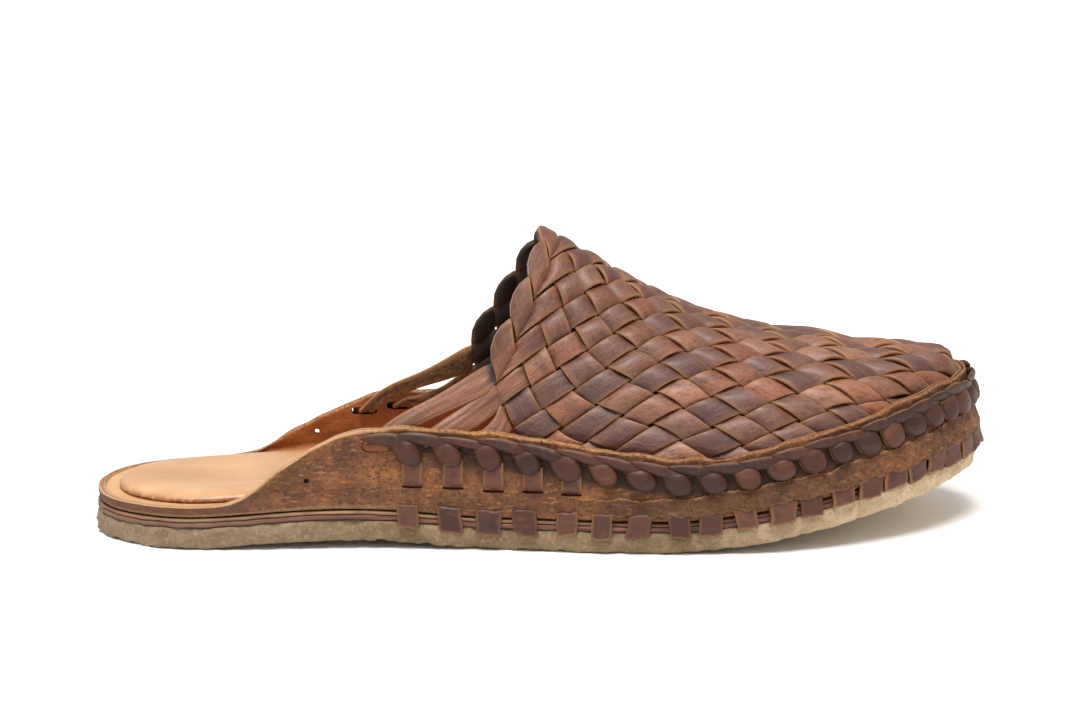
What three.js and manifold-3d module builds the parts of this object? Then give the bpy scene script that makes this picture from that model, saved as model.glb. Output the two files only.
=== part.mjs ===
// Woven leather mule for the right foot. A crepe outsole carries a leather midsole and a thick leather
// footbed whose edge turns up into a rand. Flat strips are plaited into the vamp, laced round a thong
// along the top of the rand, and come down over the midsole as short tabs.
// Millimetres, +Z up, toe towards +X, outer side of the foot towards -Y, sole standing on Z = 0.
import * as THREE from "three";
import Module from "manifold-3d";

const wasm = await Module();
wasm.setup();

// Sole stack, from the floor up
const SOLE_LENGTH = 286;
const CREPE = 7;
const MIDSOLE = 2.8;
const FOOTBED = 2.8;
const INSOLE = 3.2;
const SEAT_GAP = 0.3;
const MIDSOLE_LOW = CREPE + SEAT_GAP;
const FOOTBED_LOW = MIDSOLE_LOW + MIDSOLE + SEAT_GAP;
const FOOTBED_TOP = FOOTBED_LOW + FOOTBED;

// Outline of the sole from above: middle line and half width, before the ends are rounded
const OUTLINE = [
  { along: 0, centre: 0, half: 35.2 },
  { along: 45, centre: -0.5, half: 35.8 },
  { along: 90, centre: -2, half: 34.3 },
  { along: 125, centre: -3.3, half: 36.6 },
  { along: 160, centre: -2.8, half: 43 },
  { along: 195, centre: 0.3, half: 48.8 },
  { along: 225, centre: 3.5, half: 50.8 },
  { along: 255, centre: 6.5, half: 50.5 },
  { along: 286, centre: 9, half: 49.5 },
];
const HEEL_ROUND = 40;
const HEEL_POWER = 2.2;
const TOE_START = 205;
const STATIONS_A_SIDE = 32;

// Rise of the sole off the floor: a low arch at the waist and the toe spring
const ARCH_START = 25;
const ARCH_END = 132;
const ARCH_RISE = 2.4;
const SPRING_START = 182;
const SPRING_RISE = 17.9;
const SPRING_POWER = 1.35;

// Top of the rand above the sole's underside, on the outer and the inner side of the foot
const RAND_TOP = [
  { along: 0, outer: 13.8, inner: 13.8 },
  { along: 38, outer: 13.8, inner: 13.8 },
  { along: 47, outer: 15.8, inner: 14.6 },
  { along: 66, outer: 27.8, inner: 23.6 },
  { along: 80, outer: 34.2, inner: 30 },
  { along: 90, outer: 36, inner: 34.4 },
  { along: 100, outer: 37, inner: 35.8 },
  { along: 122, outer: 37.3, inner: 36.6 },
  { along: 135, outer: 36.2, inner: 35.9 },
  { along: 159, outer: 33.1, inner: 33 },
  { along: 184, outer: 30, inner: 30 },
  { along: 199, outer: 29.4, inner: 29.4 },
  { along: 222, outer: 30.9, inner: 30.6 },
  { along: 248, outer: 31.8, inner: 31.4 },
  { along: 270, outer: 32.8, inner: 31.6 },
  { along: 286, outer: 31.4, inner: 31.4 },
];
const RAND_WALL = 2.6;
const RAND_LEAN = 2;
const RAND_TOE_LEAN = 3.6;
const RAND_FULL_WALL = 12;
const RAND_SPRING = 0.9;

// Last shape of the vamp: height of the ridge above the footbed, its place across, and section fullness
const CROWN = [
  { along: 130, rise: 88, ridge: 2.5, fullness: 2.05 },
  { along: 143, rise: 80.6, ridge: 3, fullness: 2.05 },
  { along: 156, rise: 73.6, ridge: 3.5, fullness: 2.08 },
  { along: 169, rise: 65.6, ridge: 4, fullness: 2.12 },
  { along: 182, rise: 58.5, ridge: 4.6, fullness: 2.2 },
  { along: 195, rise: 52, ridge: 5.2, fullness: 2.3 },
  { along: 208, rise: 46.3, ridge: 5.7, fullness: 2.45 },
  { along: 221, rise: 42, ridge: 6.3, fullness: 2.6 },
  { along: 234, rise: 40, ridge: 6.8, fullness: 2.88 },
  { along: 250, rise: 35.7, ridge: 7.5, fullness: 3.27 },
  { along: 265, rise: 36.4, ridge: 8.2, fullness: 3.65 },
  { along: 290, rise: 36.4, ridge: 9, fullness: 9.9 },
];
const VAMP_BACK = 144;
const VAMP_INSET = 6.2;
const VAMP_TOE_INSET = 7.4;
const VAMP_TIP = SOLE_LENGTH - VAMP_TOE_INSET;
const VAMP_FOOT = FOOTBED_TOP + 5;
const SKIRT_START = 0.05;
const THROAT_TILT = { outer: 0.49, inner: 0.57 };
const THROAT_TILT_END = 75;

// Plait: strips laid both ways across the vamp, over one and under one. A cell's length along the ridge and
// down the girth, by the run from the back of the vamp: tall at the throat, long over the instep.
const CELL_SIZE = [
  { along: 0, run: 7.2, girth: 14.9 },
  { along: 20, run: 11.2, girth: 13.3 },
  { along: 50, run: 15.7, girth: 10 },
  { along: 90, run: 19.1, girth: 9.7 },
  { along: 125, run: 21.2, girth: 9.7 },
  { along: 160, run: 22.7, girth: 9.7 },
];
const VAMP_WALL = 1.4;
const STRIP_RAISE = 1.3;
const STRIP_SHOULDERS = [0.3, 0.7];
const OUTERMOST_LEAF = 3;
const LEAF_BULGE = 2.8;
const LEAF_RAISE = 1.6;
const PLAIT_REACH = 20;

// Thongs: strips that leave the back edge of the plait and pass through slots in the rand
const THONGS = [
  { side: -1, strip: 4, slotAlong: 90 },
  { side: -1, strip: 5, slotAlong: 105 },
  { side: -1, strip: 6, slotAlong: 120 },
  { side: 1, strip: 4, slotAlong: 87 },
  { side: 1, strip: 5, slotAlong: 98.5 },
  { side: 1, strip: 6, slotAlong: 110 },
];
const THONG_WIDTH = 8;
const THONG_THICKNESS = 1.2;
const SLOT_LENGTH = 9.6;
const SLOT_HEIGHT = 3.6;
const SLOT_DROP = 5.4;
const THONG_SWEEP = 7;
const THONG_BEND = 1.5;

// Lacing: places counted from the toe tip along the outline, a little wider apart towards the heel
const LACE_COUNT = 21;
const LACE_FIRST = 6;
const LACE_STEP = 7.8;
const LACE_GROWTH = 0.13;
const ROPE_END = 225;
const ROPE_DROP = 4;
const ROPE_CLEAR = 0.35;
const ROPE_HALF_HEIGHT = 2.6;
const ROPE_SECTION = [
  { out: 0, up: 2.2 },
  { out: 1.7, up: ROPE_HALF_HEIGHT },
  { out: 3.4, up: 1.2 },
  { out: 3.4, up: -1.2 },
  { out: 1.7, up: -ROPE_HALF_HEIGHT },
  { out: 0, up: -2.2 },
];
const PETAL = [
  { part: 0, scale: 0.72, up: 0.9 },
  { part: 0.3, scale: 1, up: 0.3 },
  { part: 0.7, scale: 1, up: -0.7 },
];
const LOOP_WIDTH = 6.6;
const LOOP_DROP = 9;
const LOOP_SLANT = 2.4;
const LOOP_CLEAR = 0.9;
const TAB_WIDTH = 7.6;
const TAB_THICKNESS = 1.2;
const TAB_SEAT = 0.5;
const TAB_LOW = CREPE - 1.8;
const TAB_TOP = FOOTBED_LOW + 2.4;

const MATERIALS = {
  outsole: { color: 0xb9a880, roughness: 0.85, metalness: 0 },
  midsole: { color: 0x74452c, roughness: 0.7, metalness: 0 },
  footbed_rand: { color: 0x7d5433, roughness: 0.85, metalness: 0 },
  insole: { color: 0xc98b4e, roughness: 0.4, metalness: 0 },
  vamp: { color: 0x6b3f2a, roughness: 0.55, metalness: 0 },
  edge_lacing: { color: 0x5a3424, roughness: 0.5, metalness: 0 },
  lace_tab: { color: 0x7a4a32, roughness: 0.6, metalness: 0 },
};

// A table's column as a smooth function of the distance along the sole: cubic pieces that never overshoot
// the rows, and straight lines beyond the first and last row.
function column(table, name) {
  const at = table.map((row) => row.along);
  const value = table.map((row) => row[name]);
  const last = value.length - 1;
  const chord = at.slice(1).map((next, k) => (value[k + 1] - value[k]) / (next - at[k]));
  const slope = value.map((_, k) => {
    const before = chord[Math.max(0, k - 1)];
    const after = chord[Math.min(last - 1, k)];
    return before * after <= 0 ? 0 : (2 * before * after) / (before + after);
  });
  return (along) => {
    if (along <= at[0]) return value[0] + slope[0] * (along - at[0]);
    if (along >= at[last]) return value[last] + slope[last] * (along - at[last]);
    const k = at.findIndex((next) => next > along) - 1;
    const span = at[k + 1] - at[k];
    const t = (along - at[k]) / span;
    const rest = 1 - t;
    return (
      rest * rest * ((1 + 2 * t) * value[k] + t * span * slope[k]) +
      t * t * ((1 + 2 * rest) * value[k + 1] - rest * span * slope[k + 1])
    );
  };
}

const centre = column(OUTLINE, "centre");
const half = column(OUTLINE, "half");
const randTopOuter = column(RAND_TOP, "outer");
const randTopInner = column(RAND_TOP, "inner");
const crownRise = column(CROWN, "rise");
const crownRidge = column(CROWN, "ridge");
const crownFullness = column(CROWN, "fullness");
const cellRun = column(CELL_SIZE, "run");
const cellGirth = column(CELL_SIZE, "girth");

const { lerp, smoothstep } = THREE.MathUtils;

// Height of the sole's underside above the floor
function lift(along) {
  const arch = THREE.MathUtils.clamp((along - ARCH_START) / (ARCH_END - ARCH_START), 0, 1);
  const spring = Math.max(0, (along - SPRING_START) / (SOLE_LENGTH - SPRING_START));
  return ARCH_RISE * Math.sin(Math.PI * arch) ** 2 + SPRING_RISE * spring ** SPRING_POWER;
}

function randTop(along, side) {
  return side < 0 ? randTopOuter(along) : randTopInner(along);
}

// How far the top of the rand leans in from the outline: more round the toe, nothing where it runs out
function randLean(along, side) {
  const full = lerp(RAND_LEAN, RAND_TOE_LEAN, smoothstep(along, TOE_START, SOLE_LENGTH));
  return full * smoothstep(randTop(along, side) - FOOTBED_TOP, 0, RAND_FULL_WALL);
}

// Share of the half width that is left where the heel and the toe round off
function endRounding(along) {
  const heel = Math.max(0, 1 - along / HEEL_ROUND);
  const toe = Math.max(0, (along - TOE_START) / (SOLE_LENGTH - TOE_START));
  return (1 - heel ** HEEL_POWER) ** (1 / HEEL_POWER) * Math.sqrt(Math.max(0, 1 - toe ** 2));
}

// Point of the outline at an angle from the heel (0) to the toe tip (pi), on one side of the foot
function outlinePoint(angle, side) {
  const along = (SOLE_LENGTH / 2) * (1 - Math.cos(angle));
  return new THREE.Vector2(along, centre(along) + side * half(along) * endRounding(along));
}

// Stations round the outline, anticlockwise from above: heel, outer side, toe tip, inner side
function outlineStations() {
  const count = 2 * STATIONS_A_SIDE;
  const points = Array.from({ length: count }, (_, k) => {
    const side = k <= STATIONS_A_SIDE ? -1 : 1;
    const step = side < 0 ? k : count - k;
    return { side, point: outlinePoint((Math.PI * step) / STATIONS_A_SIDE, side) };
  });
  return points.map(({ side, point }, k) => {
    const before = points[(k + count - 1) % count].point;
    const after = points[(k + 1) % count].point;
    const outward = new THREE.Vector2(after.y - before.y, before.x - after.x).normalize();
    return { side, point, outward, along: point.x };
  });
}

const STATIONS = outlineStations();

// One closed ring round the shoe: an inset from the outline and a height above the sole's underside
function ring(inset, height) {
  return STATIONS.map((station) => {
    const depth = typeof inset === "function" ? inset(station) : inset;
    const up = typeof height === "function" ? height(station) : height;
    const spot = station.point.clone().addScaledVector(station.outward, -depth);
    return new THREE.Vector3(spot.x, spot.y, up + lift(spot.x));
  });
}

// Vertices and faces of one closed body
class Body {
  constructor() {
    this.points = [];
    this.faces = [];
  }
  point(vector) {
    this.points.push(vector);
    return this.points.length - 1;
  }
  face(...corners) {
    for (let k = 2; k < corners.length; k += 1) {
      this.faces.push([corners[0], corners[k - 1], corners[k]]);
    }
  }
  geometry() {
    const geometry = new THREE.BufferGeometry();
    const positions = this.points.flatMap((p) => [p.x, p.y, p.z]);
    geometry.setAttribute("position", new THREE.Float32BufferAttribute(positions, 3));
    geometry.setIndex(this.faces.flat());
    return geometry;
  }
  solid() {
    const vertProperties = new Float32Array(this.points.flatMap((p) => [p.x, p.y, p.z]));
    const triVerts = new Uint32Array(this.faces.flat());
    return new wasm.Manifold(new wasm.Mesh({ numProp: 3, vertProperties, triVerts }));
  }
}

function solidGeometry(solid) {
  const { vertProperties, triVerts } = solid.getMesh();
  const geometry = new THREE.BufferGeometry();
  geometry.setAttribute("position", new THREE.BufferAttribute(vertProperties, 3));
  geometry.setIndex(new THREE.BufferAttribute(triVerts, 1));
  return geometry;
}

// Rings joined from the underside up and over, closed across the foot by strips at both ends
function loftRings(rings) {
  const body = new Body();
  const count = STATIONS.length;
  const rows = rings.map((points) => points.map((point) => body.point(point)));
  for (let r = 0; r + 1 < rows.length; r += 1) {
    for (let k = 0; k < count; k += 1) {
      const next = (k + 1) % count;
      body.face(rows[r][k], rows[r][next], rows[r + 1][next], rows[r + 1][k]);
    }
  }
  const low = rows[0];
  const top = rows[rows.length - 1];
  for (let k = 0; k < STATIONS_A_SIDE; k += 1) {
    const across = [(count - k) % count, count - k - 1];
    const low4 = [low[k], low[across[0]], low[across[1]], low[k + 1]];
    const top4 = [top[k + 1], top[across[1]], top[across[0]], top[k]];
    body.face(...new Set(low4));
    body.face(...new Set(top4));
  }
  return body;
}

// Stations of four corners joined into a bar and closed at both ends
function loftBar(stations) {
  const body = new Body();
  const rows = stations.map((corners) => corners.map((corner) => body.point(corner)));
  const count = rows[0].length;
  for (let r = 0; r + 1 < rows.length; r += 1) {
    for (let k = 0; k < count; k += 1) {
      const next = (k + 1) % count;
      body.face(rows[r][k], rows[r][next], rows[r + 1][next], rows[r + 1][k]);
    }
  }
  body.face(...rows[0].slice().reverse());
  body.face(...rows[rows.length - 1]);
  return body;
}

// Outsole: crepe slab with a rounded lower edge
function outsole() {
  return loftRings([ring(1.6, 0), ring(0.3, 1.4), ring(0, CREPE - 0.8), ring(0.5, CREPE)]);
}

// Midsole: one leather layer with eased edges
function midsole() {
  const top = MIDSOLE_LOW + MIDSOLE;
  return loftRings([
    ring(0.5, MIDSOLE_LOW),
    ring(0, MIDSOLE_LOW + 0.6),
    ring(0, top - 0.6),
    ring(0.5, top),
  ]);
}

// Footbed with its turned-up rand: up the outside, over the rim, down the inside, across the bed
function footbedRand() {
  const top = (s) => randTop(s.along, s.side);
  const wall = (s) => top(s) - FOOTBED_TOP;
  const lean = (s) => randLean(s.along, s.side);
  const rim = (s) => Math.min(0.4, 0.3 * wall(s));
  const fold = (s) => Math.min(3, 0.3 * wall(s));
  return loftRings([
    ring(0.9, FOOTBED_LOW),
    ring(0.2, FOOTBED_LOW + RAND_SPRING),
    ring((s) => 0.5 * lean(s), (s) => lerp(FOOTBED_LOW + RAND_SPRING, top(s) - rim(s), 0.5)),
    ring(lean, (s) => top(s) - rim(s)),
    ring((s) => lean(s) + 0.5, top),
    ring((s) => lean(s) + RAND_WALL - 0.5, top),
    ring((s) => lean(s) + RAND_WALL, (s) => top(s) - rim(s)),
    ring((s) => 0.6 * lean(s) + RAND_WALL + 0.1, (s) => FOOTBED_TOP + 0.55 * wall(s)),
    ring((s) => 0.3 * lean(s) + RAND_WALL + 0.3, (s) => FOOTBED_TOP + fold(s)),
    ring((s) => 0.3 * lean(s) + RAND_WALL + 1 + 0.7 * fold(s), FOOTBED_TOP),
  ]);
}

// Insole: a thin pad with a crowned edge, lying on the footbed
function insole() {
  const low = FOOTBED_TOP + SEAT_GAP;
  return loftRings([
    ring(7.2, low),
    ring(7, low + 0.15 * INSOLE),
    ring(7.6, low + 0.5 * INSOLE),
    ring(10, low + 0.8 * INSOLE),
    ring(16, low + 0.92 * INSOLE),
  ]);
}

// Height of the vamp over a section: a full curve over the ridge that runs out into a straight skirt.
// The section's width is taken where its foot lands, its height where it crosses the ridge.
function vampHeight(along, foot, y) {
  const halfWidth = half(foot) - lerp(VAMP_INSET, VAMP_TOE_INSET, smoothstep(along, TOE_START, VAMP_TIP));
  const ridge = crownRidge(along);
  const outerReach = ridge - (centre(foot) - halfWidth);
  const innerReach = centre(foot) + halfWidth - ridge;
  const across = (y - ridge) / (y < ridge ? outerReach : innerReach);
  const forward = Math.max(0, (along - TOE_START) / (VAMP_TIP - TOE_START));
  const inside = 1 - forward ** 2 - across ** 2;
  const power = 1 / crownFullness(along);
  const bend = Math.max(inside, SKIRT_START);
  const skirt = power * SKIRT_START ** (power - 1) * Math.min(0, inside - SKIRT_START);
  return FOOTBED_TOP + lift(along) + crownRise(along) * (bend ** power + skirt);
}

// The ridge line, as pairs of the length walked from the back of the vamp and the distance along the sole
function walkRidge() {
  const step = 0.25;
  const start = VAMP_BACK - 12;
  const marks = [];
  let walked = 0;
  let before = null;
  for (let along = start; along <= VAMP_TIP + 6; along += step) {
    const height = vampHeight(along, along, crownRidge(along));
    if (before !== null) walked += Math.hypot(step, height - before);
    marks.push({ along, walked });
    before = height;
  }
  const zero = marks.find((mark) => mark.along >= VAMP_BACK).walked;
  return marks.map((mark) => ({ at: mark.walked - zero, along: mark.along }));
}

// Value between two neighbouring marks of a list sorted by its "at" column
function between(marks, at, name) {
  let low = 0;
  let high = marks.length - 1;
  while (high - low > 1) {
    const middle = (low + high) >> 1;
    if (marks[middle].at > at) high = middle;
    else low = middle;
  }
  const t = (at - marks[low].at) / (marks[high].at - marks[low].at);
  return lerp(marks[low][name], marks[high][name], t);
}

const RIDGE_WALK = walkRidge();
const RIDGE_END = RIDGE_WALK[RIDGE_WALK.length - 1].at;
const SECTIONS = new Map();

// One section across the vamp, tilted back at the throat, as points by girth from the ridge
// (girth is positive towards the outer side of the foot)
function vampSection(run) {
  const key = run.toFixed(4);
  if (SECTIONS.has(key)) return SECTIONS.get(key);
  const along = between(RIDGE_WALK, run, "along");
  const upright = smoothstep(run, 0, THROAT_TILT_END);
  const foot = along - THROAT_TILT.outer * (1 - upright) * crownRise(along);
  const ridge = crownRidge(along);
  const top = vampHeight(along, foot, ridge);
  const steps = 70;
  const reach = 1.14 * half(foot);
  const walk = (side, throatTilt) => {
    const tilt = throatTilt * (1 - upright);
    const marks = [{ at: 0, x: along, y: ridge, z: top }];
    for (let k = 1; k <= steps; k += 1) {
      const y = ridge + (side * reach * k) / steps;
      const z = vampHeight(along, foot, y);
      const x = along + tilt * (z - top);
      const last = marks[k - 1];
      marks.push({ at: last.at + Math.hypot(x - last.x, y - last.y, z - last.z), x, y, z });
    }
    return marks;
  };
  const section = { outer: walk(-1, THROAT_TILT.outer), inner: walk(1, THROAT_TILT.inner) };
  SECTIONS.set(key, section);
  return section;
}

function vampSurface(run, girth) {
  const section = vampSection(run);
  const marks = girth >= 0 ? section.outer : section.inner;
  const at = Math.abs(girth);
  const [x, y, z] = ["x", "y", "z"].map((name) => between(marks, at, name));
  return new THREE.Vector3(x, y, z);
}

// Plait coordinates: one unit is one strip. "a" counts the strips that climb towards the toe on the outer
// side, "b" those that climb towards the toe on the inner side; the throat's edge is a + b = 1.
function walkRows() {
  const step = 0.25;
  const marks = [];
  let row = 0;
  for (let run = 0; run <= RIDGE_END + 20; run += step) {
    marks.push({ at: row, run });
    row += (2 * step) / cellRun(run);
  }
  return marks;
}

const ROW_WALK = walkRows();

function plaitPoint(a, b, level) {
  const run = between(ROW_WALK, a + b - 1, "run");
  const girth = ((a - b) * cellGirth(Math.max(0, run))) / 2;
  const reach = 0.6;
  const alongRun = vampSurface(run + reach, girth).sub(vampSurface(run - reach, girth));
  const alongGirth = vampSurface(run, girth + reach).sub(vampSurface(run, girth - reach));
  const normal = alongGirth.cross(alongRun).normalize();
  return vampSurface(run, girth).addScaledVector(normal, level);
}

function aboveFootbed(point) {
  return point.z - lift(point.x) - FOOTBED_TOP;
}

// Cells of the plait that reach above the vamp's foot
function plaitCells() {
  const cells = new Set();
  const keep = (i, j) => cells.add(`${i},${j}`);
  const has = (i, j) => cells.has(`${i},${j}`);
  for (let i = -OUTERMOST_LEAF; i <= PLAIT_REACH; i += 1) {
    for (let j = -OUTERMOST_LEAF; j <= PLAIT_REACH; j += 1) {
      const farRun = between(ROW_WALK, i + j + 2, "run");
      if (i + j < 0 || farRun > RIDGE_END) continue;
      const corners = [[i, j], [i + 1, j], [i + 1, j + 1], [i, j + 1]].slice(i + j === 0 ? 1 : 0);
      const highest = Math.max(...corners.map(([a, b]) => aboveFootbed(plaitPoint(a, b, 0))));
      if (highest > VAMP_FOOT - FOOTBED_TOP - 2) keep(i, j);
    }
  }
  // Two cells that meet only at a corner get a third one beside them
  for (let i = -OUTERMOST_LEAF; i < PLAIT_REACH; i += 1) {
    for (let j = -OUTERMOST_LEAF; j < PLAIT_REACH; j += 1) {
      if (has(i, j) && has(i + 1, j + 1) && !has(i + 1, j) && !has(i, j + 1)) keep(i + 1, j);
      if (has(i + 1, j) && has(i, j + 1) && !has(i, j) && !has(i + 1, j + 1)) keep(i, j);
    }
  }
  return { has, list: [...cells].map((key) => key.split(",").map(Number)) };
}

// The plaited wall: a smooth inside, and an outside where the upper strip of each cell stands raised
function plaitBody() {
  const body = new Body();
  const cells = plaitCells();
  const corners = new Map();
  const corner = (a, b) => {
    const key = `${a},${b}`;
    if (!corners.has(key)) {
      const outside = body.point(plaitPoint(a, b, 0));
      corners.set(key, { outside, inside: body.point(plaitPoint(a, b, -VAMP_WALL)) });
    }
    return corners.get(key);
  };
  const raised = (a, b, level) => body.point(plaitPoint(a, b, level));
  const rimFace = (from, to) => body.face(to.outside, from.outside, from.inside, to.inside);

  for (const [i, j] of cells.list) {
    const c10 = corner(i + 1, j);
    const c11 = corner(i + 1, j + 1);
    const c01 = corner(i, j + 1);
    if (i + j === 0) {
      const bulge = [0.25, 0.5, 0.75].map((t) => {
        const out = (LEAF_BULGE / cellRun(0)) * Math.sin(Math.PI * t) ** 0.6;
        const spot = [i + t - out, j + 1 - t - out];
        return { outside: raised(...spot, 0.6), inside: raised(...spot, -VAMP_WALL) };
      });
      const edge = [c10, c11, c01, ...bulge];
      const heart = raised(i + 0.62, j + 0.62, LEAF_RAISE);
      const lining = raised(i + 0.62, j + 0.62, -VAMP_WALL);
      edge.forEach((from, k) => {
        const to = edge[(k + 1) % edge.length];
        body.face(heart, from.outside, to.outside);
        body.face(lining, to.inside, from.inside);
        if (k >= 2) rimFace(from, to);
      });
      if (!cells.has(i + 1, j)) rimFace(c10, c11);
      if (!cells.has(i, j + 1)) rimFace(c11, c01);
      continue;
    }
    const c00 = corner(i, j);
    const climbsOuter = (i + j) % 2 === 0;
    const [near, far] = STRIP_SHOULDERS;
    const spot = (t, side) => (climbsOuter ? [i + side, j + t] : [i + t, j + side]);
    const lowNear = raised(...spot(near, 0), STRIP_RAISE);
    const lowFar = raised(...spot(far, 0), STRIP_RAISE);
    const highNear = raised(...spot(near, 1), STRIP_RAISE);
    const highFar = raised(...spot(far, 1), STRIP_RAISE);
    const o = [c00, c10, c11, c01].map((c) => c.outside);
    if (climbsOuter) {
      body.face(o[0], o[1], highNear, lowNear);
      body.face(lowNear, highNear, highFar, lowFar);
      body.face(lowFar, highFar, o[2], o[3]);
      body.face(o[1], o[2], highFar, highNear);
      body.face(o[3], o[0], lowNear, lowFar);
    } else {
      body.face(o[0], lowNear, highNear, o[3]);
      body.face(lowNear, lowFar, highFar, highNear);
      body.face(lowFar, o[1], o[2], highFar);
      body.face(o[0], o[1], lowFar, lowNear);
      body.face(o[2], o[3], highNear, highFar);
    }
    body.face(c00.inside, c01.inside, c11.inside, c10.inside);
    if (!cells.has(i, j - 1)) rimFace(c00, c10);
    if (!cells.has(i + 1, j)) rimFace(c10, c11);
    if (!cells.has(i, j + 1)) rimFace(c11, c01);
    if (!cells.has(i - 1, j)) rimFace(c01, c00);
  }
  return body;
}

// Point inside or outside the outline, at a place along one side of the foot
function sidePoint(along, side, inset, height) {
  const angle = Math.acos(1 - (2 * along) / SOLE_LENGTH);
  const step = 0.002;
  const spot = outlinePoint(angle, side);
  const run = outlinePoint(angle + step, side).sub(outlinePoint(angle - step, side)).normalize();
  spot.x -= -side * run.y * inset;
  spot.y -= side * run.x * inset;
  return {
    point: new THREE.Vector3(spot.x, spot.y, height + lift(spot.x)),
    run: new THREE.Vector3(run.x, run.y, 0),
  };
}

function slotHeight(thong) {
  return randTop(thong.slotAlong, thong.side) - SLOT_DROP;
}

// Slot through the rand, lying along its wall
function slotCutter(thong) {
  const height = slotHeight(thong);
  const corners = [-2, RAND_WALL + 4].map((inset) =>
    [[-1, -1], [1, -1], [1, 1], [-1, 1]].map(([run, up]) => {
      const { point, run: along } = sidePoint(thong.slotAlong, thong.side, inset, height);
      point.addScaledVector(along, (run * SLOT_LENGTH) / 2);
      point.z += (up * SLOT_HEIGHT) / 2;
      return point;
    }),
  );
  return loftBar(thong.side < 0 ? corners.reverse() : corners).solid();
}

// A thong: from under the back strip of the plait, down behind the rand, into its slot
function thongBody(thong) {
  const { side, strip, slotAlong } = thong;
  const lane = strip + 0.5;
  const back = -OUTERMOST_LEAF;
  const onPlait = (lengthwise, level) =>
    side < 0 ? plaitPoint(lane, lengthwise, level) : plaitPoint(lengthwise, lane, level);
  const acrossPlait = side < 0
    ? plaitPoint(strip + 1, back, 0).sub(plaitPoint(strip, back, 0)).normalize()
    : plaitPoint(back, strip + 1, 0).sub(plaitPoint(back, strip, 0)).normalize();
  const height = slotHeight(thong);
  const rimAlong = slotAlong + THONG_SWEEP;
  const behindRim = sidePoint(rimAlong, side, RAND_LEAN + RAND_WALL + 2.4, randTop(rimAlong, side) - 1);
  const aboveSlot = sidePoint(slotAlong, side, RAND_LEAN + RAND_WALL + 1.8, height + THONG_BEND);
  const inSlot = sidePoint(slotAlong, side, RAND_LEAN + 0.5, height);
  const path = [
    { point: onPlait(back + 0.55, -0.5), across: acrossPlait },
    { point: onPlait(back - 0.05, -0.5), across: acrossPlait },
    { point: behindRim.point, across: behindRim.run.clone().add(acrossPlait).normalize() },
    { point: aboveSlot.point, across: aboveSlot.run },
    { point: inSlot.point, across: inSlot.run },
  ];
  const stations = path.map(({ point, across }, k) => {
    const ahead = path[Math.min(path.length - 1, k + 1)].point;
    const behind = path[Math.max(0, k - 1)].point;
    const through = new THREE.Vector3().subVectors(ahead, behind).cross(across).normalize();
    return [[-1, -1], [1, -1], [1, 1], [-1, 1]].map(([wide, thick]) =>
      point
        .clone()
        .addScaledVector(across, (wide * THONG_WIDTH) / 2)
        .addScaledVector(through, (thick * THONG_THICKNESS) / 2),
    );
  });
  return loftBar(stations);
}

// Space that the vamp may fill: inside the rand, above the insole
function insideRand() {
  const inset = (s) => randLean(s.along, s.side) + RAND_WALL + SEAT_GAP;
  return loftRings([ring(inset, VAMP_FOOT), ring(inset, VAMP_FOOT + 120)]).solid();
}

function vamp() {
  const plait = plaitBody().solid().intersect(insideRand());
  return THONGS.reduce((solid, thong) => solid.add(thongBody(thong).solid()), plait);
}

function slottedRand() {
  return THONGS.reduce((solid, thong) => solid.subtract(slotCutter(thong)), footbedRand().solid());
}

// Angle of the outline by the length walked from the toe tip, on one side of the foot
function walkEdge(side) {
  const steps = 600;
  const marks = [{ at: 0, angle: Math.PI }];
  let last = outlinePoint(Math.PI, side);
  for (let k = 1; k <= steps; k += 1) {
    const angle = Math.PI * (1 - k / steps);
    const spot = outlinePoint(angle, side);
    marks.push({ at: marks[k - 1].at + spot.distanceTo(last), angle });
    last = spot;
  }
  return marks;
}

const EDGE_WALK = { outer: walkEdge(-1), inner: walkEdge(1) };

function edgeSpot(edge) {
  const marks = edge < 0 ? EDGE_WALK.outer : EDGE_WALK.inner;
  return outlinePoint(between(marks, Math.abs(edge), "angle"), Math.sign(edge) || 1);
}

// Point on the shoe's side: edge is the signed length from the toe tip (outer side negative), out the
// distance outside the outline, up the height above the sole's underside
function edgePoint(edge, out, up) {
  const spot = edgeSpot(edge);
  const run = edgeSpot(edge + 0.4).sub(edgeSpot(edge - 0.4)).normalize();
  const rise = up + lift(spot.x);
  return new THREE.Vector3(spot.x + run.y * out, spot.y - run.x * out, rise);
}

function edgeRandTop(edge) {
  return randTop(edgeSpot(edge).x, edge);
}

// Inset of the rand's outer face at a height on the shoe's side
function randFace(edge, up) {
  const along = edgeSpot(edge).x;
  const foot = FOOTBED_LOW + RAND_SPRING;
  return (randLean(along, edge) * (up - foot)) / (randTop(along, edge) - foot);
}

function lacePlaces() {
  const counted = Array.from({ length: LACE_COUNT }, (_, n) => n);
  const oneSide = counted.map((n) => LACE_FIRST + LACE_STEP * n + LACE_GROWTH * n * n);
  return [...oneSide.map((d) => -d).reverse(), ...oneSide];
}

const LACES = lacePlaces();

// Six-sided block between an inner and an outer face on the shoe's side
function edgeBlock(low, top, outLow, outTop) {
  const face = (thickness) => [
    edgePoint(low.from, outLow + thickness * low.thick, low.up),
    edgePoint(low.to, outLow + thickness * low.thick, low.up),
    edgePoint(top.to, outTop + thickness * top.thick, top.up),
    edgePoint(top.from, outTop + thickness * top.thick, top.up),
  ];
  return loftBar([face(0), face(1)]);
}

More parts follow.
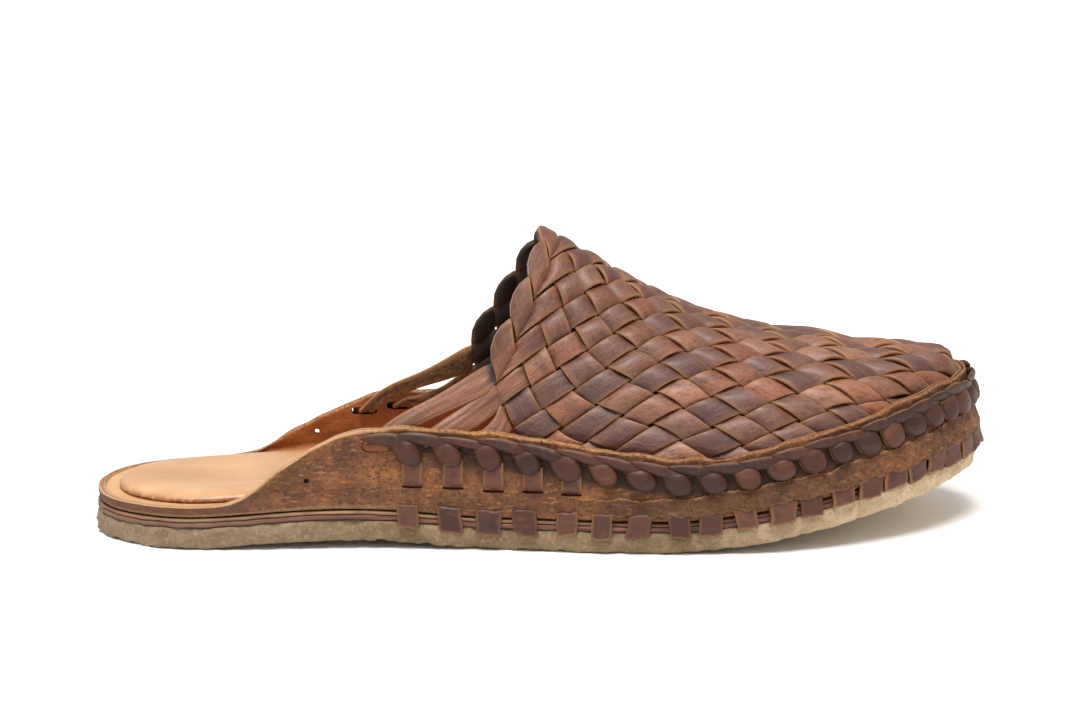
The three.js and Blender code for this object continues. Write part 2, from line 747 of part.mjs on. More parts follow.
// The thong along the rand's top, swelling at each turn of the lacing
function rope() {
  const ends = [-ROPE_END, ...LACES, ROPE_END];
  const stations = ends.slice(0, -1).flatMap((from, k) =>
    PETAL.map(({ part, scale, up }) => ({
      edge: lerp(from, ends[k + 1], part),
      scale: k === 0 && part === 0 ? 0.5 : scale,
      up,
    })),
  );
  stations.push({ edge: ROPE_END, scale: 0.5, up: 0 });
  return loftBar(
    stations.map(({ edge, scale, up }) => {
      const middle = edgeRandTop(edge) - ROPE_DROP + up;
      const seat = ROPE_CLEAR - randFace(edge, middle - ROPE_HALF_HEIGHT);
      return ROPE_SECTION.map((corner) =>
        edgePoint(edge, seat + scale * corner.out, middle + scale * corner.up),
      );
    }),
  );
}

// One turn of the lacing: a slanting strip from under the rope down the rand
function laceLoop(edge) {
  const top = edgeRandTop(edge) - ROPE_DROP;
  const low = Math.max(top - LOOP_DROP, TAB_TOP + LOOP_CLEAR);
  const reach = LOOP_WIDTH / 2;
  const slant = Math.sign(edge) * LOOP_SLANT;
  return edgeBlock(
    { from: edge - reach - slant, to: edge + reach - slant, up: low, thick: 1.3 },
    { from: edge - reach + slant, to: edge + reach + slant, up: top, thick: 2.4 },
    TAB_SEAT,
    TAB_SEAT - randFace(edge, low),
  );
}

function edgeLacing() {
  return LACES.reduce((solid, edge) => solid.add(laceLoop(edge).solid()), rope().solid());
}

// A strip's end, flat over the midsole's edge and the top of the crepe
function laceTab(edge) {
  const reach = TAB_WIDTH / 2;
  const end = { from: edge - reach, to: edge + reach, thick: TAB_THICKNESS };
  return edgeBlock({ ...end, up: TAB_LOW }, { ...end, up: TAB_TOP }, TAB_SEAT, TAB_SEAT);
}

function piece(name, geometry, material) {
  const mesh = new THREE.Mesh(geometry, new THREE.MeshStandardMaterial(material));
  mesh.name = name;
  return mesh;
}

function tabName(index) {
  const outer = index < LACE_COUNT;
  const number = outer ? LACE_COUNT - index : index - LACE_COUNT + 1;
  return `lace_tab_${outer ? "outer" : "inner"}_${String(number).padStart(2, "0")}`;
}

const shoe = new THREE.Group();
shoe.add(
  piece("outsole", outsole().geometry(), MATERIALS.outsole),
  piece("midsole", midsole().geometry(), MATERIALS.midsole),
  piece("footbed_rand", solidGeometry(slottedRand()), MATERIALS.footbed_rand),
  piece("insole", insole().geometry(), MATERIALS.insole),
  piece("vamp", solidGeometry(vamp()), MATERIALS.vamp),
  piece("edge_lacing", solidGeometry(edgeLacing()), MATERIALS.edge_lacing),
  ...LACES.map((edge, k) => piece(tabName(k), laceTab(edge).geometry(), MATERIALS.lace_tab)),
);

// The origin is on the floor under the middle of the whole shoe
const extent = new THREE.Box3().setFromObject(shoe);
shoe.position.x = -(extent.min.x + extent.max.x) / 2;
shoe.position.y = -(extent.min.y + extent.max.y) / 2;

export default shoe;
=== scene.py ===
# %% [markdown]
# # Dressing a woven leather slipper
# The packed solids fix every size and place of this slipper: a crepe sole, a leather midsole, a footbed
# whose edge turns up into a rand, a padded insole, a plaited vamp, and the lacing that holds them
# together. This lesson loads those solids as a frame and lays the finer surfaces over them, one piece at
# a time.

# %% Load the packed slipper
import math

import bmesh
import bpy
import numpy as np
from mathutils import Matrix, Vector
from mathutils.kdtree import KDTree


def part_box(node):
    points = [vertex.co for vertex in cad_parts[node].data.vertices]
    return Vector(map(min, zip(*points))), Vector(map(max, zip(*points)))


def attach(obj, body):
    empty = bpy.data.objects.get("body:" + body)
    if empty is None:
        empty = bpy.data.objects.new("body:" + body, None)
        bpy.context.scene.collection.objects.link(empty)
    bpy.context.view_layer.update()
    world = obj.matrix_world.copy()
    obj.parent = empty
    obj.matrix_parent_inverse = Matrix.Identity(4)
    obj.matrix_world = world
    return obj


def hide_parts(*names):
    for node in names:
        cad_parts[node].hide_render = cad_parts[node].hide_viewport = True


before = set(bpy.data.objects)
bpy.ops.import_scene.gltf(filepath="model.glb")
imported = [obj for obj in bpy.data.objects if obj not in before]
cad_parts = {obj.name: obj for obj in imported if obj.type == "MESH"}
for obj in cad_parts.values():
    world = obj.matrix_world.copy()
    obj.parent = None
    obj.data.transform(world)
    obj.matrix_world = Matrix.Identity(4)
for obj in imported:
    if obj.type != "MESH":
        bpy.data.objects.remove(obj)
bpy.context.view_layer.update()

scene = bpy.context.scene
MM = 0.001
print("solids in the frame:", len(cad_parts))

# %% [markdown]
# ## Camera
# The photograph was taken with a long lens, a little above the shoe and almost square to its outer side.
# A 100 mm lens at about a metre gives the same flat perspective, so no shift is needed.

# %% Camera
PHOTO_TILT = math.radians(11.48)
PHOTO_TURN = math.radians(2.72)
PHOTO_DISTANCE = 0.9677
LOOKED_AT = Vector((-0.00125, -0.0019, 0.0526))

back = Vector((
    -math.sin(PHOTO_TURN) * math.cos(PHOTO_TILT),
    -math.cos(PHOTO_TURN) * math.cos(PHOTO_TILT),
    math.sin(PHOTO_TILT),
))
camera = bpy.data.objects.new("camera", bpy.data.cameras.new("camera"))
camera.data.lens = 100
camera.data.sensor_width = 36
camera.location = LOOKED_AT + back * PHOTO_DISTANCE
camera.rotation_euler = (-back).to_track_quat("-Z", "Y").to_euler()
scene.collection.objects.link(camera)
scene.camera = camera
scene.view_settings.view_transform = "Standard"
print("camera at", [round(v, 3) for v in camera.location])

# %% [markdown]
# ## Floor and light
# The shoe stands on a plain white sheet. One wide sun from above, the left and the front shows the relief
# of the plait and gives the soft shadow under the toe, and a white world fills the rest. Lamps near the
# shoe would leave the sheet grey at its edge, but a sun lights all of it alike, so it stays white.

# %% Floor and light
FLOOR_REACH = 6.0
WORLD_LIGHT = 0.6
SUN_TOWARDS = (0.06, 0.3, -0.95)
SUN_WIDTH = 28.0
SUN_LIGHT = 3.3


def plain_material(name, colour, roughness):
    """A shader with one colour and one roughness, for what isn't part of the shoe."""
    made = bpy.data.materials.new(name)
    made.use_nodes = True
    shader = made.node_tree.nodes["Principled BSDF"]
    shader.inputs["Base Color"].default_value = (*colour, 1)
    shader.inputs["Roughness"].default_value = roughness
    return made


floor_mesh = bpy.data.meshes.new("floor")
reach = FLOOR_REACH
corners = [(-reach, -reach, 0), (reach, -reach, 0), (reach, reach, 0), (-reach, reach, 0)]
floor_mesh.from_pydata(corners, [], [(0, 1, 2, 3)])
floor_mesh.materials.append(plain_material("white_sheet", (0.94, 0.94, 0.935), 0.9))
floor = bpy.data.objects.new("floor", floor_mesh)
scene.collection.objects.link(floor)

scene.world = bpy.data.worlds.new("studio")
scene.world.use_nodes = True
sky = scene.world.node_tree.nodes["Background"]
sky.inputs["Color"].default_value = (1, 1, 1, 1)
sky.inputs["Strength"].default_value = WORLD_LIGHT
sun = bpy.data.objects.new("sun", bpy.data.lights.new("sun", "SUN"))
sun.data.angle = math.radians(SUN_WIDTH)
sun.data.energy = SUN_LIGHT
sun.rotation_euler = Vector(SUN_TOWARDS).to_track_quat("-Z", "Y").to_euler()
scene.collection.objects.link(sun)
print("floor and light made")

# %% [markdown]
# ## Putting arrays into meshes
# Every piece below is worked out as whole numpy arrays in millimetres, in the shoe's own measure: `along`
# from the back of the heel, `y` towards the inner side of the foot, and `z` up. One helper moves them
# into the part's frame and into a mesh. Attributes carry what a material needs to know, such as which
# side of the leather a vertex is on.

# %% Mesh helper
sole_low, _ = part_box("outsole")
ORIGIN = {"x": sole_low.x / MM, "y": 0.0}


def put_mesh(name, points, faces, finish, slot, uv=None, **marks):
    """Points (n, 3) in mm and a list of index arrays become one smooth mesh object on the shoe."""
    mesh = bpy.data.meshes.new(name)
    points = np.asarray(points, float).reshape(-1, 3)
    corners = np.concatenate([f.reshape(-1) for f in faces]).astype(np.int32)
    sizes = np.concatenate([np.full(len(f), f.shape[1]) for f in faces])
    starts = np.concatenate([[0], np.cumsum(sizes)[:-1]]).astype(np.int32)
    placed = (points + [ORIGIN["x"], ORIGIN["y"], 0.0]) * MM
    mesh.vertices.add(len(points))
    mesh.vertices.foreach_set("co", placed.astype(np.float32).ravel())
    mesh.loops.add(len(corners))
    mesh.loops.foreach_set("vertex_index", corners)
    mesh.polygons.add(len(sizes))
    mesh.polygons.foreach_set("loop_start", starts)
    mesh.polygons.foreach_set("use_smooth", np.ones(len(sizes), bool))
    if uv is not None:
        layer = mesh.uv_layers.new(name="UVMap")
        flat = np.asarray(uv, float).reshape(-1, 2) * MM
        layer.data.foreach_set("uv", flat[corners].astype(np.float32).ravel())
    for mark, value in marks.items():
        layer = mesh.attributes.new(mark, "FLOAT", "POINT")
        layer.data.foreach_set("value", np.asarray(value, np.float32).ravel())
    mesh.update(calc_edges=True)
    shell = bmesh.new()
    shell.from_mesh(mesh)
    bmesh.ops.recalc_face_normals(shell, faces=shell.faces)
    shell.to_mesh(mesh)
    shell.free()
    mesh.materials.append(finish)
    made = bpy.data.objects.new(name, mesh)
    scene.collection.objects.link(made)
    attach(made, "root")
    print(name, "triangles:", int((sizes - 2).sum()))
    return made


def tube_faces(rows, around):
    """Quads of a closed tube of rows, and one face across each end."""
    k = np.arange(around)
    after = (k + 1) % around
    row = np.arange(rows - 1)[:, None] * around
    quads = np.stack([row + k, row + after, row + after + around, row + k + around], -1).reshape(-1, 4)
    return quads, np.stack([k[::-1], k + (rows - 1) * around])


def joined_tubes(count, rows, around):
    """Faces of `count` equal tubes whose vertices follow each other in one array."""
    quads, ends = tube_faces(rows, around)
    offset = (np.arange(count) * rows * around)[:, None, None]
    return [(quads + offset).reshape(-1, 4), (ends + offset).reshape(-1, around)]


def one_each(draw, low, high, shape):
    """One seeded number for each piece of a row of pieces, the same all over that piece."""
    return draw.uniform(low, high, (shape[0],) + (1,) * (len(shape) - 1)) * np.ones(shape)


def ease(value, low, high):
    """Smooth step: 0 below low, 1 above high, with no corner at either end."""
    t = np.clip((np.asarray(value, float) - low) / (high - low), 0.0, 1.0)
    return t * t * (3.0 - 2.0 * t)


def lumps(points, size, seed):
    """Unevenness of about one: plane waves near `size` mm long, summed in seeded directions."""
    waves = 14
    draw = np.random.default_rng(seed)
    direction = draw.normal(size=(3, waves))
    direction /= np.linalg.norm(direction, axis=0)
    rate = 2 * np.pi / (size * draw.uniform(0.7, 1.5, waves))
    phase = draw.uniform(0, 2 * np.pi, waves)
    return np.sin(np.asarray(points) @ (direction * rate) + phase).sum(-1) / math.sqrt(waves / 2)


print("heel's back at x:", round(ORIGIN["x"], 2), "mm")

# %% [markdown]
# ## The sole's outline
# The plan of the sole is a middle line and a half width, eased off at the heel and the toe. It could be a
# traced curve, but these are the solid's own numbers, so the pieces fit it. Each ring round the shoe is
# an inset from that outline and a height above the underside, which itself rises in a low arch and in the
# toe spring.

# %% Outline of the sole
SOLE_LENGTH = 286.0
HEEL_ROUND = 40.0
HEEL_POWER = 2.2
TOE_START = 205.0
ARCH_START = 25.0
ARCH_END = 132.0
ARCH_RISE = 2.4
SPRING_START = 182.0
SPRING_RISE = 17.9
SPRING_POWER = 1.35
MIDDLE_LINE_ENDS = (34.0, 250.0)


def table(columns, *rows):
    """Rows of numbers as dictionaries with named columns."""
    return [dict(zip(columns.split(), row)) for row in rows]


OUTLINE = table(
    "along centre half",
    (0, 0, 35.2), (45, -0.5, 35.8), (90, -2, 34.3),
    (125, -3.3, 36.6), (160, -2.8, 43), (195, 0.3, 48.8),
    (225, 3.5, 50.8), (255, 6.5, 50.5), (286, 9, 49.5),
)


def flowing(rows, name):
    """A smooth curve through one column of a table: cubic pieces that never overshoot the rows."""
    at = np.array([row["along"] for row in rows], float)
    value = np.array([row[name] for row in rows], float)
    chord = np.diff(value) / np.diff(at)
    before = np.concatenate([chord[:1], chord])
    after = np.concatenate([chord, chord[-1:]])
    total = np.where(before * after > 0, before + after, 1.0)
    slope = np.where(before * after > 0, 2 * before * after / total, 0.0)

    def curve(along):
        """Value at a place: cubic between two rows, straight beyond the ends."""
        along = np.asarray(along, float)
        k = np.clip(np.searchsorted(at, along, side="right") - 1, 0, len(at) - 2)
        span = at[k + 1] - at[k]
        t = np.clip((along - at[k]) / span, 0, 1)
        rest = 1 - t
        low = rest * rest * ((1 + 2 * t) * value[k] + t * span * slope[k])
        high = t * t * ((1 + 2 * rest) * value[k + 1] - rest * span * slope[k + 1])
        beyond = np.minimum(0, along - at[0]) * slope[0] + np.maximum(0, along - at[-1]) * slope[-1]
        return low + high + beyond

    return curve


centre = flowing(OUTLINE, "centre")
half = flowing(OUTLINE, "half")


def lift(along):
    """Height of the underside: a squared sine arch at the waist plus a power curve for the toe spring."""
    arch = np.clip((along - ARCH_START) / (ARCH_END - ARCH_START), 0, 1)
    spring = np.maximum(0, (along - SPRING_START) / (SOLE_LENGTH - SPRING_START))
    return ARCH_RISE * np.sin(np.pi * arch) ** 2 + SPRING_RISE * spring ** SPRING_POWER


def outline(angle, side):
    """Plan point at an angle from heel (0) to toe (pi): middle line plus half width, ends rounded."""
    along = SOLE_LENGTH / 2 * (1 - np.cos(angle))
    heel = np.maximum(0, 1 - along / HEEL_ROUND)
    toe = np.maximum(0, (along - TOE_START) / (SOLE_LENGTH - TOE_START))
    rounding = (1 - heel ** HEEL_POWER) ** (1 / HEEL_POWER) * np.sqrt(np.maximum(0, 1 - toe ** 2))
    return np.stack([along, centre(along) + side * half(along) * rounding], -1)


A_SIDE = 220
steps = np.arange(2 * A_SIDE)
SIDE = np.where(steps <= A_SIDE, -1.0, 1.0)
SPOT = outline(np.pi * np.where(steps <= A_SIDE, steps, 2 * A_SIDE - steps) / A_SIDE, SIDE)
ALONG = SPOT[:, 0]
turn = np.roll(SPOT, -1, 0) - np.roll(SPOT, 1, 0)
OUTWARD = np.stack([turn[:, 1], -turn[:, 0]], -1)
OUTWARD /= np.linalg.norm(OUTWARD, axis=1, keepdims=True)
ORIGIN["y"] = sole_low.y / MM - SPOT[:, 1].min()


def ring(inset, height):
    """Closed ring of points: the outline moved in by `inset`, at `height` above the underside."""
    flat = SPOT - OUTWARD * np.broadcast_to(inset, ALONG.shape)[:, None]
    return np.column_stack([flat, np.broadcast_to(height, ALONG.shape) + lift(flat[:, 0])])


def towards_middle(points, share):
    """A ring drawn in towards the sole's middle line by a share of the way."""
    inner = np.clip(points[:, 0], *MIDDLE_LINE_ENDS)
    moved = points.copy()
    moved[:, 0] += share * (inner - points[:, 0])
    moved[:, 1] += share * (centre(inner) - points[:, 1])
    moved[:, 2] += lift(moved[:, 0]) - lift(points[:, 0])
    return moved


def ring_faces(count):
    """Quads between `count` closed rings, and strips that close the first and last across the foot."""
    above = 2 * A_SIDE
    around = np.arange(above)
    after = (around + 1) % above
    row = np.arange(count - 1)[:, None] * above
    quads = np.stack([row + around, row + after, row + after + above, row + around + above], -1)
    k = np.arange(1, A_SIDE - 1)
    across = above - k
    cap = np.stack([k, across, across - 1, k + 1], -1)
    tip = np.array([[0, above - 1, 1], [A_SIDE - 1, A_SIDE + 1, A_SIDE]])
    top = (count - 1) * above
    return [quads.reshape(-1, 4), cap, cap[:, ::-1] + top, tip, tip[:, ::-1] + top]


print("outline points:", len(SPOT), "shift across:", round(ORIGIN["y"], 3))

# %% [markdown]
# ## Leather and crepe finishes
# A finish is a small tree of nodes: colours mixed by noise, a bump for the grain, and a roughness that
# varies a little. The helpers below add nodes in one line each, so every finish reads as a recipe.
# Patterns that follow a strip read its UV map, which is in metres along and across the strip.

# %% Node helpers
class Finish:
    """A material under construction, with short ways to add and join nodes."""

    def __init__(self, name, roughness, **constants):
        """A new shader with its roughness and other constant inputs."""
        self.material = bpy.data.materials.new(name)
        self.material.use_nodes = True
        self.tree = self.material.node_tree
        self.shader = self.tree.nodes["Principled BSDF"]
        self.shader.inputs["Roughness"].default_value = roughness
        for socket, value in constants.items():
            self.shader.inputs[socket.replace("_", " ")].default_value = value

    def add(self, kind, **inputs):
        """Adds a node; inputs are set by name, with a link where the value is a socket."""
        node = self.tree.nodes.new("ShaderNode" + kind)
        for name, value in inputs.items():
            self.set(node.inputs[name.replace("_", " ")], value)
        return node

    def set(self, socket, value):
        """Links a socket to a socket, or gives it a constant."""
        if isinstance(value, bpy.types.NodeSocket):
            self.tree.links.new(value, socket)
        else:
            socket.default_value = value

    def place(self, scale=(1, 1, 1), uv=False):
        """Object or UV coordinates, stretched by a scale."""
        coordinates = self.add("TexCoord").outputs["UV" if uv else "Object"]
        return self.add("Mapping", Vector=coordinates, Scale=scale).outputs["Vector"]

    def axis(self, name):
        """One of the object's own coordinates, in metres."""
        return self.add("SeparateXYZ", Vector=self.add("TexCoord").outputs["Object"]).outputs[name]

    def noise(self, vector, scale, detail=4.0, rough=0.55):
        """Layered noise from 0 to 1."""
        node = self.add("TexNoise", Vector=vector, Scale=scale, Detail=detail, Roughness=rough)
        return node.outputs["Fac"]

    def mark(self, name):
        """A vertex attribute of the mesh."""
        node = self.add("Attribute")
        node.attribute_name = name
        return node.outputs["Fac"]

    def sharpen(self, value, low, high, to_low=0.0, to_high=1.0):
        """Maps the range from low to high onto the range from to_low to to_high."""
        node = self.add("MapRange")
        node.interpolation_type = "SMOOTHSTEP"
        sockets = ("Value", "From Min", "From Max", "To Min", "To Max")
        for name, amount in zip(sockets, (value, low, high, to_low, to_high)):
            self.set(node.inputs[name], amount)
        return node.outputs["Result"]

    def colours(self, value, *stops):
        """A colour ramp: stops are (place, (r, g, b))."""
        node = self.add("ValToRGB", Fac=value)
        ramp = node.color_ramp
        while len(ramp.elements) < len(stops):
            ramp.elements.new(0.5)
        for element, (place, colour) in zip(ramp.elements, stops):
            element.position = place
            element.color = (*colour, 1)
        return node.outputs["Color"]

    def blend(self, share, first, second):
        """Two colours mixed by a share."""
        node = self.add("Mix")
        node.data_type = "RGBA"
        self.set(node.inputs[0], share)
        for socket, value in ((node.inputs[6], first), (node.inputs[7], second)):
            self.set(socket, value if isinstance(value, bpy.types.NodeSocket) else (*value, 1))
        return node.outputs[2]

    def math(self, operation, first, second):
        """Two numbers joined by one operation."""
        node = self.add("Math")
        node.operation = operation
        self.set(node.inputs[0], first)
        self.set(node.inputs[1], second)
        return node.outputs[0]

    def done(self, colour, bumps, roughness=None):
        """Joins colour, roughness and a chain of bumps (height, strength, depth in m) to the shader."""
        self.tree.links.new(colour, self.shader.inputs["Base Color"])
        if roughness is not None:
            self.tree.links.new(roughness, self.shader.inputs["Roughness"])
        normal = None
        for height, strength, depth in bumps:
            bump = self.add("Bump", Height=height, Strength=strength, Distance=depth)
            if normal is not None:
                self.tree.links.new(normal, bump.inputs["Normal"])
            normal = bump.outputs["Normal"]
        self.tree.links.new(normal, self.shader.inputs["Normal"])
        print(self.material.name, "nodes:", len(self.tree.nodes))
        return self.material


print("finish helpers:", [name for name in vars(Finish) if not name.startswith("_")])

# %% [markdown]
# ## Crepe outsole
# The sole is a slab of natural crepe rubber, cut by hand: its side is lumpy, full of crumbs and pits, and
# its lower edge is ragged at the waist and the toe. It could be a bevelled block with a displacement
# texture. Here it is a stack of rings, finer than the solid's, with the lumps added to the points so that
# they also show in outline.

# %% Crepe finish
def crepe_finish():
    """Crumbed rubber: grey-tan heel, olive waist and golden toe, with pits and pale specks."""
    f = Finish("crepe_rubber", 0.8, Specular_IOR_Level=0.25)
    spot = f.place()
    along = f.axis("X")
    cloud = f.noise(spot, 90.0, 5.0)
    crumb = f.noise(spot, 800.0, 5.0, 0.7)
    fine = f.noise(spot, 2300.0, 3.0, 0.7)
    waist = f.colours(
        cloud, (0.3, (0.2, 0.135, 0.066)), (0.5, (0.27, 0.185, 0.095)), (0.7, (0.35, 0.25, 0.135)),
    )
    heel = f.colours(cloud, (0.3, (0.23, 0.155, 0.095)), (0.7, (0.36, 0.255, 0.16)))
    toe = f.colours(cloud, (0.3, (0.62, 0.44, 0.25)), (0.7, (0.88, 0.66, 0.41)))
    back = f.blend(f.sharpen(along, -0.11, -0.05), heel, waist)
    base = f.blend(f.sharpen(along, 0.03, 0.125), back, toe)
    speck = f.blend(f.sharpen(crumb, 0.52, 0.68, 0.0, 0.36), base, (0.62, 0.48, 0.28))
    pits = f.blend(f.sharpen(crumb, 0.48, 0.32, 0.0, 0.5), speck, (0.16, 0.105, 0.045))
    colour = f.blend(f.sharpen(fine, 0.45, 0.3, 0.0, 0.35), pits, (0.15, 0.105, 0.055))
    return f.done(colour, [(crumb, 0.8, 0.0009), (fine, 0.5, 0.0004)])


crepe = crepe_finish()

# %% Crepe outsole
# The side from the floor up: inset from the outline and height
SIDE_PROFILE = [
    (2.2, 0.0), (1.5, 0.15), (0.9, 0.5), (0.5, 1.1), (0.25, 1.9), (0.1, 2.8),
    (0.0, 3.8), (0.0, 4.8), (0.05, 5.7), (0.2, 6.4), (0.6, 6.85), (1.4, 7.0),
]
UNDERSIDE_SHARES = (0.94, 0.7, 0.45, 0.2, 0.0)
# How much of the nibbling reaches the rings round the lower edge
NIBBLED = np.array([0.4, 0.8, 0.8, 0.6, 0.3])


def crepe_rows():
    """Rings from the middle of the underside outwards, then up the side, each point moved by lumps."""
    edge = ring(6.0, 0.0)
    under = [towards_middle(edge, share) for share in UNDERSIDE_SHARES]
    under.append(ring(3.6, 0.0))
    wall = [ring(inset, height) for inset, height in SIDE_PROFILE]
    rows = np.array(under + wall)
    shape = rows.shape[:2]
    rough = 0.34 * lumps(rows, 5.0, 3) + 0.22 * lumps(rows, 2.2, 4) + 0.3 * lumps(rows, 19.0, 5)
    on_wall = np.zeros(shape)
    on_wall[len(under):] = 1
    rows[..., :2] += OUTWARD[None] * (0.75 * rough * on_wall)[..., None]
    waist = ease(ALONG, 45, 70) * (1 - ease(ALONG, 125, 150))
    nibble = np.maximum(0, lumps(rows, 3.2, 6)) * (0.35 + 0.75 * waist)
    nibble += 0.55 * np.maximum(0, lumps(rows, 1.5, 7)) * ease(ALONG, 225, 262)
    low = np.zeros(shape)
    low[len(under) - 1:len(under) + 4] = NIBBLED[:, None]
    rows[..., 2] += nibble * low
    return rows


rows = crepe_rows()
crepe_sole = put_mesh("crepe_sole", rows, ring_faces(len(rows)), crepe, "crepe")
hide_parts("outsole")

# %% [markdown]
# ## Leather midsole
# Between the crepe and the footbed there is leather seen only by its cut edge: a thick reddish layer with
# a thin pale one on top. Two plates would do, but one edge profile with a groove shows the same lines.

# %% Midsole finish
def midsole_finish():
    """Cut leather edges: reddish below, tan above, with fibres along the edge, and painted shade in
    recesses.
    """
    f = Finish("midsole_edge", 0.62)
    fibre = f.noise(f.place((60, 60, 1400)), 1.0, 4.0)
    cloud = f.noise(f.place(), 130.0, 4.0)
    low = f.colours(
        fibre, (0.3, (0.07, 0.024, 0.014)), (0.55, (0.17, 0.06, 0.032)), (0.75, (0.26, 0.1, 0.05)),
    )
    high = f.colours(cloud, (0.35, (0.16, 0.075, 0.03)), (0.65, (0.36, 0.19, 0.08)))
    along = f.axis("X")
    worn = f.blend(f.sharpen(along, -0.04, 0.02, 0.0, 0.8), high, (0.13, 0.047, 0.018))
    layers = f.blend(f.mark("upper_layer"), low, worn)
    layers = f.blend(f.sharpen(along, -0.07, -0.11, 0.0, 0.65), layers, (0.24, 0.115, 0.062))
    # Painted shade: near black in the groove and on the rows tucked under the edges
    colour = f.blend(f.mark("groove"), layers, (0.012, 0.007, 0.004))
    return f.done(colour, [(fibre, 0.5, 0.0005), (cloud, 0.3, 0.0006)])


midsole_edge = midsole_finish()

# %% Leather midsole
# The edge from below up: inset and height, then each row's share of the upper layer and of painted
# shade, in the groove and under the edges
MIDSOLE_PROFILE = [
    (3.0, 7.05), (0.9, 7.05), (0.35, 7.2), (0.12, 7.6), (0.05, 8.1), (0.08, 8.55), (0.3, 8.75),
    (0.7, 8.9), (0.3, 9.02), (0.06, 9.2), (0.0, 9.5), (0.15, 9.8), (0.7, 9.98), (2.0, 10.05),
]
MIDSOLE_UPPER = np.array([0, 0, 0, 0, 0, 0, 0, 0.5, 1, 1, 1, 1, 1, 1])
MIDSOLE_GROOVE_SHADE = np.array([1, 1, 0.5, 0, 0, 0, 0.5, 1, 0.4, 0, 0, 0, 0.4, 0.7])

rows = np.array([ring(inset, height) for inset, height in MIDSOLE_PROFILE])
rows[..., :2] += OUTWARD[None] * (0.14 * lumps(rows, 7.0, 11) + 0.08 * lumps(rows, 2.0, 12))[..., None]
spread = np.ones(len(ALONG))
midsole_layers = put_mesh(
    "midsole_layers", rows, ring_faces(len(rows)), midsole_edge, "midsole_leather",
    upper_layer=np.outer(MIDSOLE_UPPER, spread), groove=np.outer(MIDSOLE_GROOVE_SHADE, spread),
)
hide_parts("midsole")

# %% [markdown]
# ## Footbed and turned-up rand
# One thick sheet of leather lies under the foot and turns up at the sides and the toe. Outside it shows
# its rough flesh side, mottled and waxed. Its cut top edge shows two pale lines. Inside it is smoother
# and redder, and it wrinkles where it turns up. A flat sheet could be bent by modifiers, but rings that
# follow the solid's profile stay closer to it. The wrinkles are listed one by one.

# %% Rand measures
FOOTBED_LOW = 10.4
FOOTBED_TOP = 13.2
RAND_WALL = 2.6
RAND_FOOT = FOOTBED_LOW + 0.9
RAND_LEAN = 2.0
RAND_TOE_LEAN = 3.6
RAND_FULL_WALL = 12.0
RAND_TOP = table(
    "along outer inner",
    (0, 13.8, 13.8), (38, 13.8, 13.8), (47, 15.8, 14.6), (66, 27.8, 23.6),
    (80, 34.2, 30), (90, 36, 34.4), (100, 37, 35.8), (122, 37.3, 36.6),
    (135, 36.2, 35.9), (159, 33.1, 33), (184, 30, 30), (199, 29.4, 29.4),
    (222, 30.9, 30.6), (248, 31.8, 31.4), (270, 32.8, 31.6), (286, 31.4, 31.4),
)
rand_outer = flowing(RAND_TOP, "outer")
rand_inner = flowing(RAND_TOP, "inner")


def rand_top(along, side):
    """Height of the rand's top on the outer (-1) or the inner (1) side of the foot."""
    return np.where(np.asarray(side) < 0, rand_outer(along), rand_inner(along))


def rand_lean(along, side):
    """How far the rand's top leans in: more towards the toe, and nothing where it runs out."""
    full = RAND_LEAN + (RAND_TOE_LEAN - RAND_LEAN) * ease(along, TOE_START, SOLE_LENGTH)
    return full * ease(rand_top(along, side) - FOOTBED_TOP, 0, RAND_FULL_WALL)


print("rand's highest top:", round(float(rand_top(ALONG, SIDE).max()), 1), "mm")

# %% [markdown]
# ## Places along the lacing
# The strips are laced to the rand round a thong that lies just below its top edge. Every turn of the
# lacing has a place along the outline, counted from the toe tip, negative on the outer side. A curve
# object could carry them, but a list of lengths is easier to share between the turns, the straps and the
# strip ends.

# %% Lacing places
LACE_COUNT = 21
LACE_FIRST = 6
LACE_STEP = 7.8
LACE_GROWTH = 0.13
n = np.arange(LACE_COUNT)
one_side = LACE_FIRST + LACE_STEP * n + LACE_GROWTH * n ** 2
LACES = np.concatenate([-one_side[::-1], one_side])
ROPE_END = 225.0
walk = np.linspace(0, np.pi, 3001)
WAY = np.concatenate([outline(walk, -1), outline(walk[::-1], 1)[1:]])
way_length = np.concatenate([[0], np.cumsum(np.linalg.norm(np.diff(WAY, axis=0), axis=1))])
WAY_AT = way_length - way_length[len(walk) - 1]
way_turn = np.gradient(WAY, axis=0)
way_turn /= np.linalg.norm(way_turn, axis=1, keepdims=True)
ANGLE_STEP = 0.002


def edge_along(edge):
    """Distance along the sole at a signed length from the toe tip."""
    return np.interp(edge, WAY_AT, WAY[:, 0])


def edge_point(edge, out, up):
    """Point on the shoe's side: a length from the toe tip, a distance outside the outline, a height."""
    x = edge_along(edge)
    y = np.interp(edge, WAY_AT, WAY[:, 1])
    run_x, run_y = [np.interp(edge, WAY_AT, way_turn[:, axis]) for axis in range(2)]
    across = np.stack([run_y, -run_x], -1)
    flat = np.stack([x, y], -1) + across * np.asarray(out)[..., None]
    return np.concatenate([flat, (up + lift(x))[..., None]], -1)


def edge_top(edge):
    """Height of the rand's top at a place along the lacing."""
    return rand_top(edge_along(edge), np.sign(edge))


def rand_face(edge, up):
    """Inset of the rand's leaning outer face at a height."""
    along = edge_along(edge)
    top = rand_top(along, np.sign(edge))
    return rand_lean(along, np.sign(edge)) * np.clip((up - RAND_FOOT) / (top - RAND_FOOT), 0, 1)


def side_place(along, side, inset, height):
    """Point inside the outline at a place along one side, and the direction along the side there."""
    angle = np.arccos(1 - 2 * along / SOLE_LENGTH)
    spot = outline(np.array([angle - ANGLE_STEP, angle, angle + ANGLE_STEP]), side)
    run = spot[2] - spot[0]
    run /= np.linalg.norm(run)
    flat = spot[1] - inset * np.array([-side * run[1], side * run[0]])
    return np.array([*flat, height + lift(flat[0])]), np.array([run[0], run[1], 0.0])


